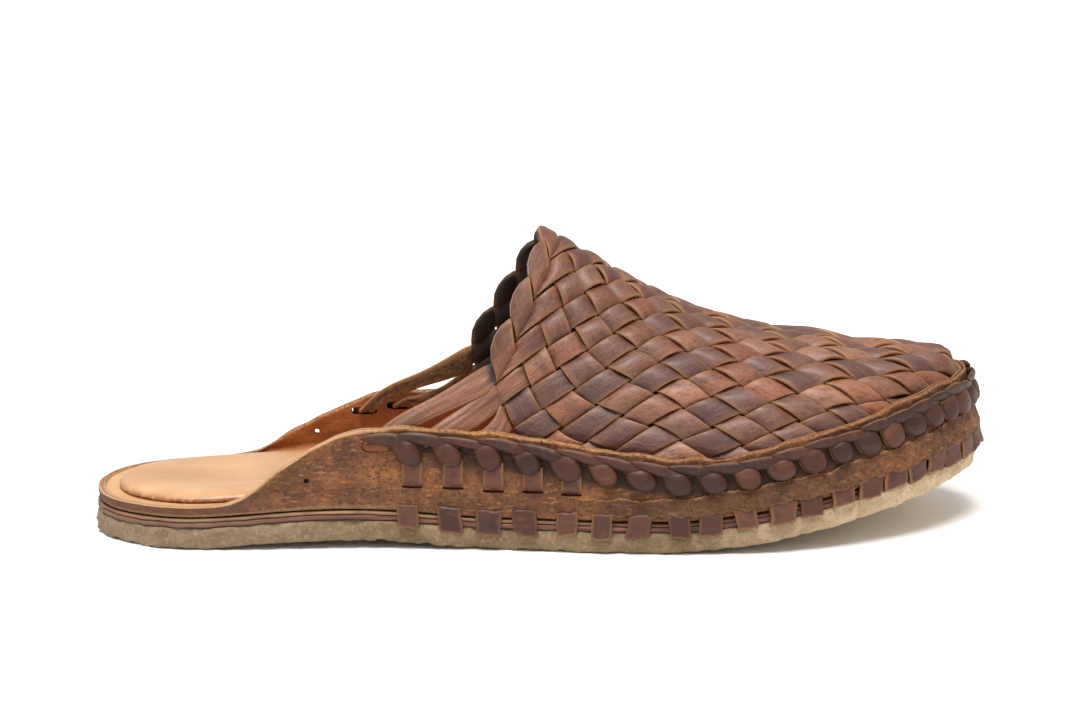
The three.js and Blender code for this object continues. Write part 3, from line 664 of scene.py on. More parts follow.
print("lacing places:", len(LACES))

# %% Slots and wrinkles of the rand
SLOT_DROP = 5.4
THONG_SWEEP = 7.0
# Each thong: its slot's place, half its width between plait and slot, and how far its middle is drawn up
THONG_SLOTS = table(
    "side strip along half drawn_up",
    (-1, 4, 90, 3.1, 1.0), (-1, 5, 105, 4.0, 0.0), (-1, 6, 120, 4.0, 0.0),
    (1, 4, 87, 2.5, 1.0), (1, 5, 98.5, 3.0, -2.6), (1, 6, 110, 3.6, 0.0),
)
# Each wrinkle: the side, where it starts and ends along the sole, its heights there, its width and depth
WRINKLES = [
    (-1, 46, 70, 14.5, 18.5, 1.6, 0.55), (-1, 52, 84, 15.0, 15.4, 2.2, 0.45),
    (-1, 60, 74, 20.0, 27.0, 1.4, 0.4), (-1, 84, 110, 18.0, 16.5, 2.4, 0.5),
    (1, 46, 74, 14.4, 17.5, 1.1, 0.7), (1, 50, 92, 15.2, 16.4, 1.3, 0.7),
    (1, 58, 84, 17.2, 20.5, 1.2, 0.5), (1, 64, 78, 18.0, 25.0, 1.5, 0.45),
    (1, 86, 96, 17.0, 28.0, 1.6, 0.4), (1, 100, 112, 17.5, 27.0, 1.8, 0.4),
]


def wrinkle_depth(along, height, side):
    """Sum of soft troughs: each is a straight line on the rand, with a bell-shaped cross-section."""
    total = np.zeros(np.broadcast(along, height).shape)
    for where, start, end, low, high, width, depth in WRINKLES:
        share = np.clip((along - start) / (end - start), 0, 1)
        away = height - (low + share * (high - low))
        fade = ease(along, start - 3, start + 4) * (1 - ease(along, end - 4, end + 3))
        total += depth * np.exp(-(away / width) ** 2) * fade * (np.asarray(side) == where)
    return total


print("slots:", len(THONG_SLOTS), "wrinkles:", len(WRINKLES))

# %% Rand finish
def rand_finish():
    """Waxed flesh side outside, smooth red-brown inside, tan at the heel, raw rim and painted shade in
    recesses.
    """
    f = Finish("rand_leather", 0.7, Specular_IOR_Level=0.3)
    spot = f.place()
    along = f.axis("X")
    cloud = f.noise(spot, 60.0, 5.0, 0.6)
    patch = f.noise(spot, 420.0, 5.0, 0.72)
    fibre = f.noise(spot, 1000.0, 4.0, 0.68)
    nap = f.noise(f.place((300, 300, 1000)), 1.0, 4.0, 0.65)
    grain = f.noise(spot, 2200.0, 2.0)
    suede = f.colours(
        cloud, (0.32, (0.09, 0.035, 0.015)), (0.48, (0.152, 0.06, 0.024)),
        (0.6, (0.235, 0.094, 0.034)), (0.74, (0.36, 0.157, 0.056)),
    )
    stained = f.blend(f.sharpen(patch, 0.48, 0.66, 0.0, 0.75), suede, (0.05, 0.028, 0.018))
    # Paler nap in patches: partly the suede's own rubbed nap, partly a painted highlight
    nap_and_highlight = f.blend(f.sharpen(nap, 0.52, 0.7, 0.0, 0.6), stained, (0.45, 0.2, 0.07))
    outside = f.blend(f.sharpen(fibre, 0.5, 0.34, 0.0, 0.6), nap_and_highlight, (0.04, 0.018, 0.01))
    outside = f.blend(f.sharpen(along, -0.08, -0.105, 0.0, 0.65), outside, (0.125, 0.054, 0.034))
    smooth = f.colours(
        cloud, (0.3, (0.21, 0.052, 0.015)), (0.5, (0.33, 0.094, 0.026)), (0.7, (0.47, 0.17, 0.056)),
    )
    smooth = f.blend(f.sharpen(patch, 0.55, 0.7, 0.0, 0.5), smooth, (0.15, 0.045, 0.018))
    tan = f.colours(cloud, (0.3, (0.52, 0.26, 0.105)), (0.7, (0.72, 0.45, 0.23)))
    inside = f.blend(f.sharpen(along, -0.115, -0.088), tan, smooth)
    sides = f.blend(f.mark("inner_face"), outside, inside)
    raw = f.colours(
        fibre, (0.34, (0.12, 0.05, 0.018)), (0.5, (0.36, 0.165, 0.06)), (0.66, (0.52, 0.27, 0.11)),
    )
    outer_side = f.sharpen(f.axis("Y"), 0.0, -0.01)
    heelward = f.sharpen(along, -0.035, -0.065, 0.0, 0.6)
    raw = f.blend(f.math("MULTIPLY", heelward, outer_side), raw, (0.6, 0.38, 0.21))
    raw = f.blend(f.sharpen(along, 0.0, 0.06, 0.0, 0.4), raw, (0.13, 0.055, 0.024))
    edged = f.blend(f.mark("raw_edge"), sides, raw)
    # Painted shade, near black: the rim's hollow, the rows under the bed, the face behind the lacing
    # turns, the thong ends in their slots and parts of the band
    colour = f.blend(f.mark("hollow"), edged, (0.02, 0.009, 0.005))
    rough = f.sharpen(f.mark("inner_face"), 0.0, 1.0, 0.8, 0.45)
    bumps = [(patch, 0.4, 0.0008), (nap, 0.4, 0.0006), (fibre, 0.5, 0.0005), (grain, 0.25, 0.0002)]
    return f.done(colour, bumps, rough)


def slot_wall_shade_finish():
    """Walls of the slots: cut leather painted near black as shade, with a little fibre."""
    f = Finish("slot_wall_painted_shade", 0.85, Specular_IOR_Level=0.2)
    fibre = f.noise(f.place(), 900.0, 4.0, 0.7)
    colour = f.colours(fibre, (0.35, (0.015, 0.007, 0.004)), (0.65, (0.07, 0.03, 0.013)))
    return f.done(colour, [(fibre, 0.5, 0.0005)])


rand_leather = rand_finish()

# %% Footbed and rand
OUTSIDE_ROWS = 25
INSIDE_ROWS = 15
RIM_HEIGHT = 0.55
FOLD_RADIUS = 3.0
# The rim's two lips: share of the wall's thickness, drop below the top in rims, raw leather, painted
# shade
RIM = [
    (0.0, 1.5, 0.6, 0.0), (0.03, 0.9, 1.0, 0.0), (0.1, 0.35, 1.0, 0.0), (0.22, 0.0, 0.9, 0.0),
    (0.34, 0.2, 0.7, 0.1), (0.44, 0.9, 0.2, 0.6), (0.52, 1.1, 0.0, 0.8), (0.6, 0.7, 0.3, 0.5),
    (0.7, 0.15, 0.8, 0.0), (0.84, 0.1, 1.0, 0.0), (0.95, 0.6, 1.0, 0.0), (1.0, 1.3, 0.6, 0.0),
]


def rand_rows():
    """Profile rings: under the bed, up the outside, over both lips, down the inside, across the bed."""
    top = rand_top(ALONG, SIDE)
    lean = rand_lean(ALONG, SIDE)
    wall = top - FOOTBED_TOP
    rim = np.minimum(RIM_HEIGHT, 0.3 * wall)
    fold = np.minimum(FOLD_RADIUS, 0.3 * wall)
    rows = [ring(4.0, FOOTBED_LOW), ring(1.6, FOOTBED_LOW), ring(0.7, FOOTBED_LOW + 0.15)]
    marks = [(0.0, 0.0, 1.0), (0.0, 0.0, 1.0), (0.0, 0.5, 0.3)]
    for t in np.linspace(0, 1, OUTSIDE_ROWS):
        rows.append(ring(0.2 * (1 - t) + lean * t, RAND_FOOT + (top - 2 * rim - RAND_FOOT) * t))
        marks.append((0.0, 0.35 * (t == 0), 0.0))
    for share, drop, raw, hollow in RIM:
        rows.append(ring(lean + share * RAND_WALL, top - rim * drop))
        marks.append((share, raw, hollow))
    for t in np.linspace(0, 1, INSIDE_ROWS):
        inset = (1 - t) * (lean + RAND_WALL) + t * (0.3 * lean + RAND_WALL + 0.3)
        rows.append(ring(inset, top - 2 * rim + (FOOTBED_TOP + fold - top + 2 * rim) * t))
        marks.append((1.0, 0.0, 0.0))
    for quarter in np.linspace(0, np.pi / 2, 5)[1:]:
        inset = 0.3 * lean + RAND_WALL + 0.3 + (0.7 + 0.7 * fold) * (1 - np.cos(quarter))
        rows.append(ring(inset, FOOTBED_TOP + fold * (1 - np.sin(quarter))))
        marks.append((1.0, 0.0, 0.0))
    bed = ring(9.0, FOOTBED_TOP)
    for share in (0.0, 0.4, 0.9):
        rows.append(towards_middle(bed, share))
        marks.append((1.0, 0.0, 0.0))
    return np.array(rows), np.array(marks)


rows, marks = rand_rows()
height = rows[..., 2] - lift(rows[..., 0])
inner = marks[:, :1] > 0.99
wavy = 0.22 * lumps(rows, 16.0, 21) + 0.12 * lumps(rows, 5.0, 22)
trough = wrinkle_depth(ALONG[None], height, SIDE[None])
shift = np.where(inner, 0.6 * trough - 0.15 * wavy, 0.5 * wavy - 0.8 * trough)
shift *= (height > FOOTBED_LOW + 0.5)
rows[..., :2] += OUTWARD[None] * shift[..., None]
rim_wave = 0.3 * lumps(rows * [1, 1, 0.2], 11.0, 23) * (marks[:, 1:2] > 0.05)
rows[..., 2] += rim_wave * ease(height, FOOTBED_TOP + 1, FOOTBED_TOP + 5)
wide = np.ones((1, len(ALONG)))
drop = rand_top(ALONG, SIDE)[None] - height
# Painted shade on the outer face behind the lacing turns, from the waist forward; the painted shade of
# the hollows is weaker at the heel
shade_behind_turns = 0.86 * ease(drop, 2.0, 4.5) * (1 - ease(drop, 10.0, 13.0)) * (marks[:, :1] == 0)
shade_behind_turns *= ease(ALONG, 96, 132)[None]
rand = put_mesh(
    "footbed_with_rand", rows, ring_faces(len(rows)), rand_leather, "rand_leather",
    inner_face=marks[:, :1] * wide, raw_edge=marks[:, 1:2] * wide,
    hollow=np.maximum(marks[:, 2:] * (0.4 + 0.6 * ease(ALONG, 50, 80)), shade_behind_turns),
)
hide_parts("footbed_rand")

# %% [markdown]
# ## Holes in the rand
# Thongs and lacing pass through the rand in slots, and two awl holes were left nearer the heel. Holes
# could be painted dark, but real ones have walls that catch the light, so they are cut: a boolean takes
# rounded prisms out of the wall, and the new walls get a near-black finish as painted shade. The nearest
# old vertex then gives each new one its marks.

# %% Hole cutters
STRAP_START = 155.0
STRAPPED = LACES[np.abs(LACES) > STRAP_START]
SLIT_HEIGHT = 18.4 + np.random.default_rng(61).uniform(-0.5, 1.1, len(STRAPPED))
HOLE_AROUND = 16
HOLE_POWER = 0.55
HOLE_START = -2.0
SLOT_LONG = 4.8
SLOT_HIGH = 1.9
SLIT_LONG = 3.3
SLIT_HIGH = 0.5
SLIT_DEEP = 1.7
STRAP_SHIFT = 1.5
# Each awl hole: side, place along the sole, height, half its length and height, and the inset it reaches
AWL_HOLES = [(-1, 68.0, 19.7, 0.8, 0.7, 2.6), (1, 70.0, 20.8, 0.8, 0.8, RAND_WALL + 3)]


def hole_rows(side, along, height, half_long, half_high, deep):
    """A prism into the wall: a squarish ellipse in the wall's plane, carried from outside to an inset."""
    angle = np.linspace(0, 2 * np.pi, HOLE_AROUND, endpoint=False)
    run = half_long * np.sign(np.cos(angle)) * np.abs(np.cos(angle)) ** HOLE_POWER
    up = half_high * np.sign(np.sin(angle)) * np.abs(np.sin(angle)) ** HOLE_POWER
    made = []
    for inset in (HOLE_START, deep):
        middle, way = side_place(along, side, inset, height)
        made.append(middle + run[:, None] * way + up[:, None] * [0, 0, 1])
    return np.array(made)


def all_holes():
    """Thong slots and the inner awl hole go right through, the outer one and the slits are blind."""
    made = []
    for slot in THONG_SLOTS:
        height = rand_top(slot["along"], slot["side"]) - SLOT_DROP
        tight = slot["side"] > 0
        made.append(hole_rows(
            slot["side"], slot["along"] - 1.2 * tight, height,
            SLOT_LONG - 0.5 * tight, SLOT_HIGH - 0.6 * tight, RAND_WALL + 4,
        ))
    made += [hole_rows(*hole) for hole in AWL_HOLES]
    for edge, height in zip(STRAPPED, SLIT_HEIGHT):
        along = edge_along(edge - STRAP_SHIFT * np.sign(edge))
        made.append(hole_rows(np.sign(edge), along, height, SLIT_LONG, SLIT_HIGH, SLIT_DEEP))
    return np.array(made)


print("slits for straps:", len(STRAPPED))

# %% Cut the holes
def cut_holes(piece, holes, shaded_walls):
    """Takes prisms (n, 2, around, 3) in mm out of a piece; their walls get a finish of their own, painted
    shade.
    """
    tool = put_mesh("hole_tool", holes, joined_tubes(len(holes), 2, HOLE_AROUND), shaded_walls, "rand_leather")
    cut = piece.modifiers.new("holes", "BOOLEAN")
    cut.operation = "DIFFERENCE"
    cut.solver = "EXACT"
    cut.material_mode = "TRANSFER"
    cut.object = tool
    shaped = piece.evaluated_get(bpy.context.evaluated_depsgraph_get())
    mesh = bpy.data.meshes.new_from_object(shaped)
    old = KDTree(len(piece.data.vertices))
    for vertex in piece.data.vertices:
        old.insert(vertex.co, vertex.index)
    old.balance()
    nearest = np.array([old.find(vertex.co)[1] for vertex in mesh.vertices])
    for name in ("inner_face", "raw_edge", "hollow"):
        values = np.empty(len(piece.data.vertices), np.float32)
        piece.data.attributes[name].data.foreach_get("value", values)
        mesh.attributes[name].data.foreach_set("value", values[nearest])
    mesh.polygons.foreach_set("use_smooth", np.ones(len(mesh.polygons), bool))
    mesh.set_sharp_from_angle(angle=math.radians(60))
    piece.modifiers.clear()
    piece.data = mesh
    bpy.data.objects.remove(tool)
    print("holes cut:", len(holes), "vertices now:", len(mesh.vertices))


cut_holes(rand, all_holes(), slot_wall_shade_finish())

# %% [markdown]
# ## Padded insole
# The insole is a thin pad under smooth vegetable-tanned leather. It is rounded at the edge, slightly
# crowned, and pressed a little where the heel and the ball of the foot rest. A cloth simulation could
# shape it, but for three millimetres of filling a smooth function with two dents is enough.

# %% Insole finish
def insole_finish():
    """Tan, glossy leather with faint clouds and streaks, a redder scuffed edge and very fine pores."""
    f = Finish("insole_leather", 0.36, Specular_IOR_Level=0.5, Coat_Weight=0.2, Coat_Roughness=0.3)
    spot = f.place()
    cloud = f.noise(spot, 38.0, 5.0, 0.6)
    streak = f.noise(f.place((12, 90, 90)), 1.0, 4.0)
    scuff = f.noise(spot, 420.0, 3.0, 0.6)
    pore = f.noise(spot, 1700.0, 3.0, 0.6)
    base = f.colours(
        cloud, (0.32, (0.5, 0.245, 0.1)), (0.5, (0.58, 0.312, 0.142)), (0.7, (0.65, 0.385, 0.195)),
    )
    base = f.blend(f.sharpen(streak, 0.5, 0.72, 0.0, 0.4), base, (0.7, 0.43, 0.21))
    worn = f.colours(
        scuff, (0.4, (0.12, 0.035, 0.012)), (0.52, (0.34, 0.1, 0.025)), (0.62, (0.5, 0.21, 0.07)),
    )
    colour = f.blend(f.mark("worn_edge"), base, worn)
    rough = f.sharpen(cloud, 0.3, 0.7, 0.3, 0.44)
    return f.done(colour, [(cloud, 0.15, 0.0015), (scuff, 0.12, 0.0004), (pore, 0.25, 0.0002)], rough)


insole_leather = insole_finish()

# %% Padded insole
# The edge from below up: inset and height, then each row's share of scuffed leather
PAD_PROFILE = [
    (9.0, 13.5), (7.4, 13.5), (7.05, 13.65), (6.95, 14.0), (7.05, 14.45), (7.4, 14.95),
    (8.0, 15.4), (8.9, 15.78), (10.2, 16.08), (12.2, 16.28), (14.5, 16.38),
]
PAD_EDGE = np.array([1, 1, 1, 0.9, 0.7, 0.45, 0.22, 0.08, 0, 0, 0])
PAD_SHARES = (0.12, 0.25, 0.38, 0.5, 0.62, 0.74, 0.85, 0.94)
DENTS = table("along long wide deep", (42, 26, 17, 0.7), (196, 30, 26, 0.6))


def insole_rows():
    """Rings over the rounded edge, then drawn in to the middle, crowned and pressed by two soft dents."""
    rows = [ring(inset, height) for inset, height in PAD_PROFILE]
    last = rows[-1]
    rows += [towards_middle(last, share) for share in PAD_SHARES]
    rows = np.array(rows)
    x = rows[..., 0]
    y = rows[..., 1] - centre(x)
    shape = 0.35 * (1 - np.clip(np.abs(y) / 30, 0, 1) ** 2)
    for dent in DENTS:
        away = ((x - dent["along"]) / dent["long"]) ** 2 + (y / dent["wide"]) ** 2
        shape -= dent["deep"] * np.exp(-away)
    on_top = ease(rows[..., 2] - lift(x), 15.3, 16.2)
    rows[..., 2] += on_top * (shape + 0.07 * lumps(rows, 24.0, 31))
    return rows


rows = insole_rows()
edge_mark = np.concatenate([PAD_EDGE, np.zeros(len(rows) - len(PAD_EDGE))])
insole_pad = put_mesh(
    "insole_pad", rows, ring_faces(len(rows)), insole_leather, "insole_leather",
    worn_edge=np.outer(edge_mark, np.ones(len(ALONG))),
)
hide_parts("insole")

# %% [markdown]
# ## The last under the vamp
# The plait lies on the shape of a last: a ridge that falls from the throat to the toe, and sections
# across it that get fuller forwards and lean back at the throat. It could be a sculpted mesh. As a
# formula it gives each place on the vamp by the run along the ridge and the girth down from it, positive
# towards the outer side, so strips keep their width.

# %% Shape of the vamp
CROWN = table(
    "along rise ridge fullness",
    (130, 88, 2.5, 2.05), (143, 80.6, 3, 2.05), (156, 73.6, 3.5, 2.08), (169, 65.6, 4, 2.12),
    (182, 58.5, 4.6, 2.2), (195, 52, 5.2, 2.3), (208, 46.3, 5.7, 2.45), (221, 42, 6.3, 2.6),
    (234, 40, 6.8, 2.88), (250, 35.7, 7.5, 3.27), (265, 36.4, 8.2, 3.65), (290, 36.4, 9, 9.9),
)
VAMP_BACK = 144.0
VAMP_TIP = 278.6
VAMP_INSET = 6.2
VAMP_TOE_DRAW = 1.2
SKIRT = 0.05
TILT = {-1: 0.49, 1: 0.57}
TILT_END = 75.0
rise = flowing(CROWN, "rise")
ridge = flowing(CROWN, "ridge")
fullness = flowing(CROWN, "fullness")


def vamp_height(along, foot, y):
    """Height over a section: rise times (1 - forward^2 - across^2)^(1/fullness), with a skirt."""
    half_width = half(foot) - VAMP_INSET - VAMP_TOE_DRAW * ease(along, TOE_START, VAMP_TIP)
    middle = ridge(along)
    outer_reach = middle - centre(foot) + half_width
    inner_reach = centre(foot) + half_width - middle
    reach = np.where(y < middle, outer_reach, inner_reach)
    forward = np.maximum(0, (along - TOE_START) / (VAMP_TIP - TOE_START))
    inside = 1 - forward ** 2 - ((y - middle) / reach) ** 2
    power = 1 / fullness(along)
    skirt = power * SKIRT ** (power - 1) * np.minimum(0, inside - SKIRT)
    return FOOTBED_TOP + lift(along) + rise(along) * (np.maximum(inside, SKIRT) ** power + skirt)


WALK_STEP = 0.25
RIDGE_ALONG = np.arange(VAMP_BACK - 14, VAMP_TIP + 6.01, WALK_STEP)
ridge_height = vamp_height(RIDGE_ALONG, RIDGE_ALONG, ridge(RIDGE_ALONG))
walked = np.concatenate([[0], np.cumsum(np.hypot(WALK_STEP, np.diff(ridge_height)))])
RIDGE_RUN = walked - np.interp(VAMP_BACK, RIDGE_ALONG, walked)
RUN_STEP = 0.75
GIRTH_STEP = 0.5
RUNS = np.arange(-10.0, RIDGE_RUN[-1], RUN_STEP)
GIRTHS = np.arange(0.0, 110.0, GIRTH_STEP)
SECTION_REACH = 1.2
SECTION_POINTS = 141


def half_sections(side):
    """Points by girth on one side of every section, shape (runs, girths, 3)."""
    along = np.interp(RUNS, RIDGE_RUN, RIDGE_ALONG)[:, None]
    upright = ease(RUNS, 0, TILT_END)[:, None]
    foot = along - TILT[-1] * (1 - upright) * rise(along)
    y = ridge(along) + side * SECTION_REACH * half(foot) * np.linspace(0, 1, SECTION_POINTS)[None]
    z = vamp_height(along, foot, y)
    x = along + TILT[side] * (1 - upright) * (z - z[:, :1])
    points = np.stack([x, y, z], -1)
    length = np.linalg.norm(np.diff(points, axis=1), axis=2).cumsum(1)
    length = np.concatenate([np.zeros((len(RUNS), 1)), length], 1)
    return np.array([
        np.stack([np.interp(GIRTHS, at, p[:, axis]) for axis in range(3)], -1)
        for at, p in zip(length, points)
    ])


LAST = np.concatenate([half_sections(1)[:, :0:-1], half_sections(-1)], 1)
LAST_NORMAL = np.cross(np.gradient(LAST, axis=1), np.gradient(LAST, axis=0))
LAST_NORMAL /= np.linalg.norm(LAST_NORMAL, axis=2, keepdims=True) + 1e-9


def on_vamp(run, girth):
    """Point and outward normal at a run and a girth, bilinear between the sections' points."""
    r = np.clip((run - RUNS[0]) / RUN_STEP, 0, len(RUNS) - 1.001)
    g = np.clip(girth / GIRTH_STEP + len(GIRTHS) - 1, 0, LAST.shape[1] - 1.001)
    i = r.astype(int)
    j = g.astype(int)
    p = (r - i)[..., None]
    q = (g - j)[..., None]
    made = []
    for grid in (LAST, LAST_NORMAL):
        before = grid[i, j] * (1 - p) + grid[i + 1, j] * p
        after = grid[i, j + 1] * (1 - p) + grid[i + 1, j + 1] * p
        made.append(before * (1 - q) + after * q)
    point, normal = made
    return point, normal / (np.linalg.norm(normal, axis=-1, keepdims=True) + 1e-9)


print("vamp sections:", LAST.shape)

# %% [markdown]
# ## Plaited strips
# The vamp is woven from flat strips of waxed leather, 9 mm apart, over one and under one. At the throat
# each strip folds over and comes back as the strip of the other direction, which leaves a row of
# leaf-shaped scallops. A woven texture would not show the strips' edges in outline, so each strip is its
# own ribbon: its middle rises and dips like a flattened cosine, and its cross-section is slightly
# pillowed.

# %% Plait measures
CELL_SIZE = table(
    "along run girth",
    (0, 7.2, 14.9), (20, 11.2, 13.3), (50, 15.7, 10),
    (90, 19.1, 9.7), (125, 21.2, 9.7), (160, 22.7, 9.7),
)
cell_run = flowing(CELL_SIZE, "run")
cell_girth = flowing(CELL_SIZE, "girth")
WALK_RUN = np.arange(0, RIDGE_RUN[-1] + 20, WALK_STEP)
WALK_ROW = np.concatenate([[0], np.cumsum(2 * WALK_STEP / cell_run(WALK_RUN))[:-1]])
STRIP_HALF = 0.458
WOVEN_HALF = 4.3
STRIP_THICK = 1.65
WEAVE_LEVEL = 1.45
WEAVE_FLAT = 0.9
LEAF_BULGE = 2.8
LEAF_SLANT = 0.65
OUTERMOST_LEAF = 3
ROWS_A_CELL = 10
HIDDEN_FOOT = 7.5

# The ribbon's cross-section: place across (-1 to 1), place through the thickness (-0.5 to 0.56), and the
# shares of grain side and of raw edge there
CROSS_WIDE = np.array([-1, -0.965, -0.9, -0.5, 0, 0.5, 0.9, 0.965, 1, 0.93, 0.35, -0.35, -0.93])
CROSS_THICK = np.array([0, 0.38, 0.46, 0.53, 0.56, 0.53, 0.46, 0.38, 0, -0.44, -0.5, -0.5, -0.44])
CROSS_GRAIN = np.array([0.5, 1, 1, 1, 1, 1, 1, 1, 0.5, 0, 0, 0, 0])
CROSS_RAW = np.array([1, 0.95, 0.2, 0, 0, 0, 0.2, 0.95, 1, 0.6, 0, 0, 0.6])
RIGHT_EDGE, TOP_MIDDLE, UNDER_MIDDLE = 8, 4, 10
# Seeded tones and widths. Strips and cells before number 0 find theirs by the two shifts
MOST = 40
LANE_SHIFT = 5
CELL_SHIFT = 4
draw = np.random.default_rng(7)
STRIP_TONE = {name: draw.uniform(0, 1, MOST) for name in ("outer", "inner")}
CELL_TONE = {name: draw.uniform(-1, 1, (MOST, MOST)) for name in ("outer", "inner")}
STRIP_WIDTH = {name: draw.uniform(0.95, 1.04, MOST) for name in ("outer", "inner")}


def plait_place(lane, reach, family):
    """Run and girth of a place on a strip: lane counts strips across, reach counts cells along it."""
    a, b = (lane, reach) if family == "outer" else (reach, lane)
    row = a + b - 1
    run = np.interp(row, WALK_ROW, WALK_RUN) + np.minimum(row, 0) * cell_run(0) / 2
    return run, (a - b) * cell_girth(np.maximum(run, 0)) / 2


def weave_height(index, lane, reach, family):
    """Over (1) and under (-1) along a strip: a flattened cosine over the cells.

    The leaves at the throat stay over longer, and the strips that cross their ends rise early, along a
    slanting line.
    """
    row = reach + index
    share = lane - index
    if family == "inner" and -OUTERMOST_LEAF <= index <= 0:
        turn = 2 - LEAF_SLANT * share
    elif family == "outer" and 0 <= index <= OUTERMOST_LEAF + 1:
        turn = 1 + np.clip((1 - share) / LEAF_SLANT, 0, 1)
    else:
        turn = None
    if turn is not None:
        before = np.maximum(1.5, 2 - (turn - row))
        after = np.where(row < 2.5, 2 + 0.5 * (row - turn) / (2.5 - turn), row)
        reach = np.where(row < turn, before, after) - index
    sign = (1 if family == "outer" else -1) * (-1.0) ** index
    return sign * np.tanh(WEAVE_FLAT * np.cos(np.pi * (reach - 0.5))) / math.tanh(WEAVE_FLAT)


rows_on_ridge = float(np.interp(RIDGE_RUN[-1], WALK_RUN, WALK_ROW))
print("cells along the ridge:", round(rows_on_ridge / 2, 1))

# %% Course of one strip
def shown_reach(index, family):
    """Cells of a strip that lie on the vamp and above the hidden foot behind the rand."""
    reach = np.arange(-OUTERMOST_LEAF, 26.0, 1 / ROWS_A_CELL)
    run, girth = plait_place(index + 0.5, reach, family)
    point, _ = on_vamp(run, girth)
    side = np.where(point[:, 1] < centre(point[:, 0]), -1, 1)
    above = point[:, 2] - lift(point[:, 0]) - rand_top(point[:, 0], side)
    shown = (above > -HIDDEN_FOOT) & (run > -1) & (run < RUNS[-1] - 1)
    if not shown.any():
        return reach[:0]
    first = np.argmax(shown)
    after = np.argmin(np.concatenate([shown[first:], [False]]))
    return reach[first:first + after]


def strip_grid(index, family):
    """Lane, reach and mm from the fold, by row and place across: straight, scalloped at the throat."""
    reach = shown_reach(index, family)
    share = (CROSS_WIDE + 1) / 2
    half_lane = STRIP_HALF * STRIP_WIDTH[family][index + LANE_SHIFT] * CROSS_WIDE
    lane = index + 0.5 + half_lane + 0.02 * np.sin(1.7 * reach + 2.9 * index)[:, None]
    length = np.broadcast_to(reach[:, None], lane.shape).copy()
    if index > OUTERMOST_LEAF or len(reach) == 0:
        return lane, length, np.full(lane.shape, 9.0)
    joined = 1.7 - index
    bulge = LEAF_BULGE / cell_run(0) * np.sin(np.pi * share) ** 0.6
    first = np.linspace(0, 1, 2 * ROWS_A_CELL)[:, None] ** 1.3
    fold_reach = 1 - index - share - bulge
    start_reach = fold_reach + (joined - fold_reach) * first
    settle = ease(first, 0, 1)
    start_lane = (index + share - bulge) * (1 - settle) + (index + 0.5 + half_lane) * settle
    rest = reach > joined + 0.05
    lane = np.concatenate([start_lane, lane[rest]])
    length = np.concatenate([start_reach, length[rest]])
    return lane, length, (length - fold_reach) * 0.5 * math.hypot(cell_run(0), cell_girth(0))


print("rows of the first strip:", len(strip_grid(0, "outer")[0]))

# %% [markdown]
# ## Thongs at the back of the vamp
# On each side three strips don't end at the throat: they leave the back of the plait as thongs, run down
# behind the rand and pass out through slots in it. Bevelled curves could stand for them, but would not
# share the strips' cross-section, so each is the same ribbon carried on along a smooth path.

# %% Thong path
# Where a thong passes on its way: inset from the outline, and height over the rim or the slot
BEHIND_RIM = {"inset": 7.0, "up": -1.0}
ABOVE_SLOT = {"inset": 6.0, "up": 1.4}
IN_SLOT = {"inset": 1.2, "up": -0.3}
PATH_STEPS = 10
THONG_CURL = 0.8


def smooth_path(knots, start, count):
    """Points through knots: cubic pieces whose slopes are half the chord between neighbours."""
    knots = np.asarray(knots)
    slope = np.empty_like(knots)
    slope[1:-1] = (knots[2:] - knots[:-2]) / 2
    slope[0] = start * np.linalg.norm(knots[1] - knots[0])
    slope[-1] = knots[-1] - knots[-2]
    t = np.linspace(0, 1, count, endpoint=False)[:, None]
    pieces = []
    for k in range(len(knots) - 1):
        h = knots[k] * (2 * t ** 3 - 3 * t ** 2 + 1) + slope[k] * (t ** 3 - 2 * t ** 2 + t)
        pieces.append(h + knots[k + 1] * (3 * t ** 2 - 2 * t ** 3) + slope[k + 1] * (t ** 3 - t ** 2))
    return np.concatenate(pieces + [knots[-1:]])


def thong_rows(slot, first_rows):
    """Ribbon rows from the back of the plait to the slot, set against the first woven row."""
    side = slot["side"]
    middle = first_rows[0].mean(0)
    ahead = first_rows[0].mean(0) - first_rows[2].mean(0)
    across = first_rows[0][RIGHT_EDGE] - first_rows[0][0]
    across /= np.linalg.norm(across)
    outside = first_rows[0][TOP_MIDDLE] - first_rows[0][UNDER_MIDDLE]
    slot_height = rand_top(slot["along"], side) - SLOT_DROP
    rear = slot["along"] + THONG_SWEEP
    behind, run = side_place(rear, side, BEHIND_RIM["inset"], rand_top(rear, side) + BEHIND_RIM["up"])
    above, _ = side_place(slot["along"], side, ABOVE_SLOT["inset"], slot_height + ABOVE_SLOT["up"])
    within, _ = side_place(slot["along"], side, IN_SLOT["inset"], slot_height + IN_SLOT["up"])
    run = run * np.sign(run @ across)
    path = smooth_path([middle, behind, above, within], ahead / np.linalg.norm(ahead), PATH_STEPS)[1:]
    share = np.linspace(0, 1, len(path))[:, None]
    path[:, 2:] += slot["drawn_up"] * np.sin(np.pi * np.clip(share / 0.42, 0, 1)) ** 0.7
    wide = across * (1 - ease(share, 0.1, 0.6)) + run * ease(share, 0.1, 0.6)
    wide /= np.linalg.norm(wide, axis=1, keepdims=True)
    forward = np.gradient(path, axis=0)
    normal = np.cross(forward, wide)
    normal /= np.linalg.norm(normal, axis=1, keepdims=True)
    normal *= np.sign(normal[0] @ outside)
    curl = THONG_CURL * (CROSS_WIDE ** 2)[None, :, None] * ease(share, 0, 0.4)[:, :, None]
    half_wide = WOVEN_HALF + (slot["half"] - WOVEN_HALF) * ease(share, 0, 0.2)
    return (
        path[:, None] + wide[:, None] * (half_wide * CROSS_WIDE)[:, :, None]
        + normal[:, None] * (STRIP_THICK * CROSS_THICK[None, :, None] - curl)
    )


print("free thongs:", len(THONG_SLOTS))

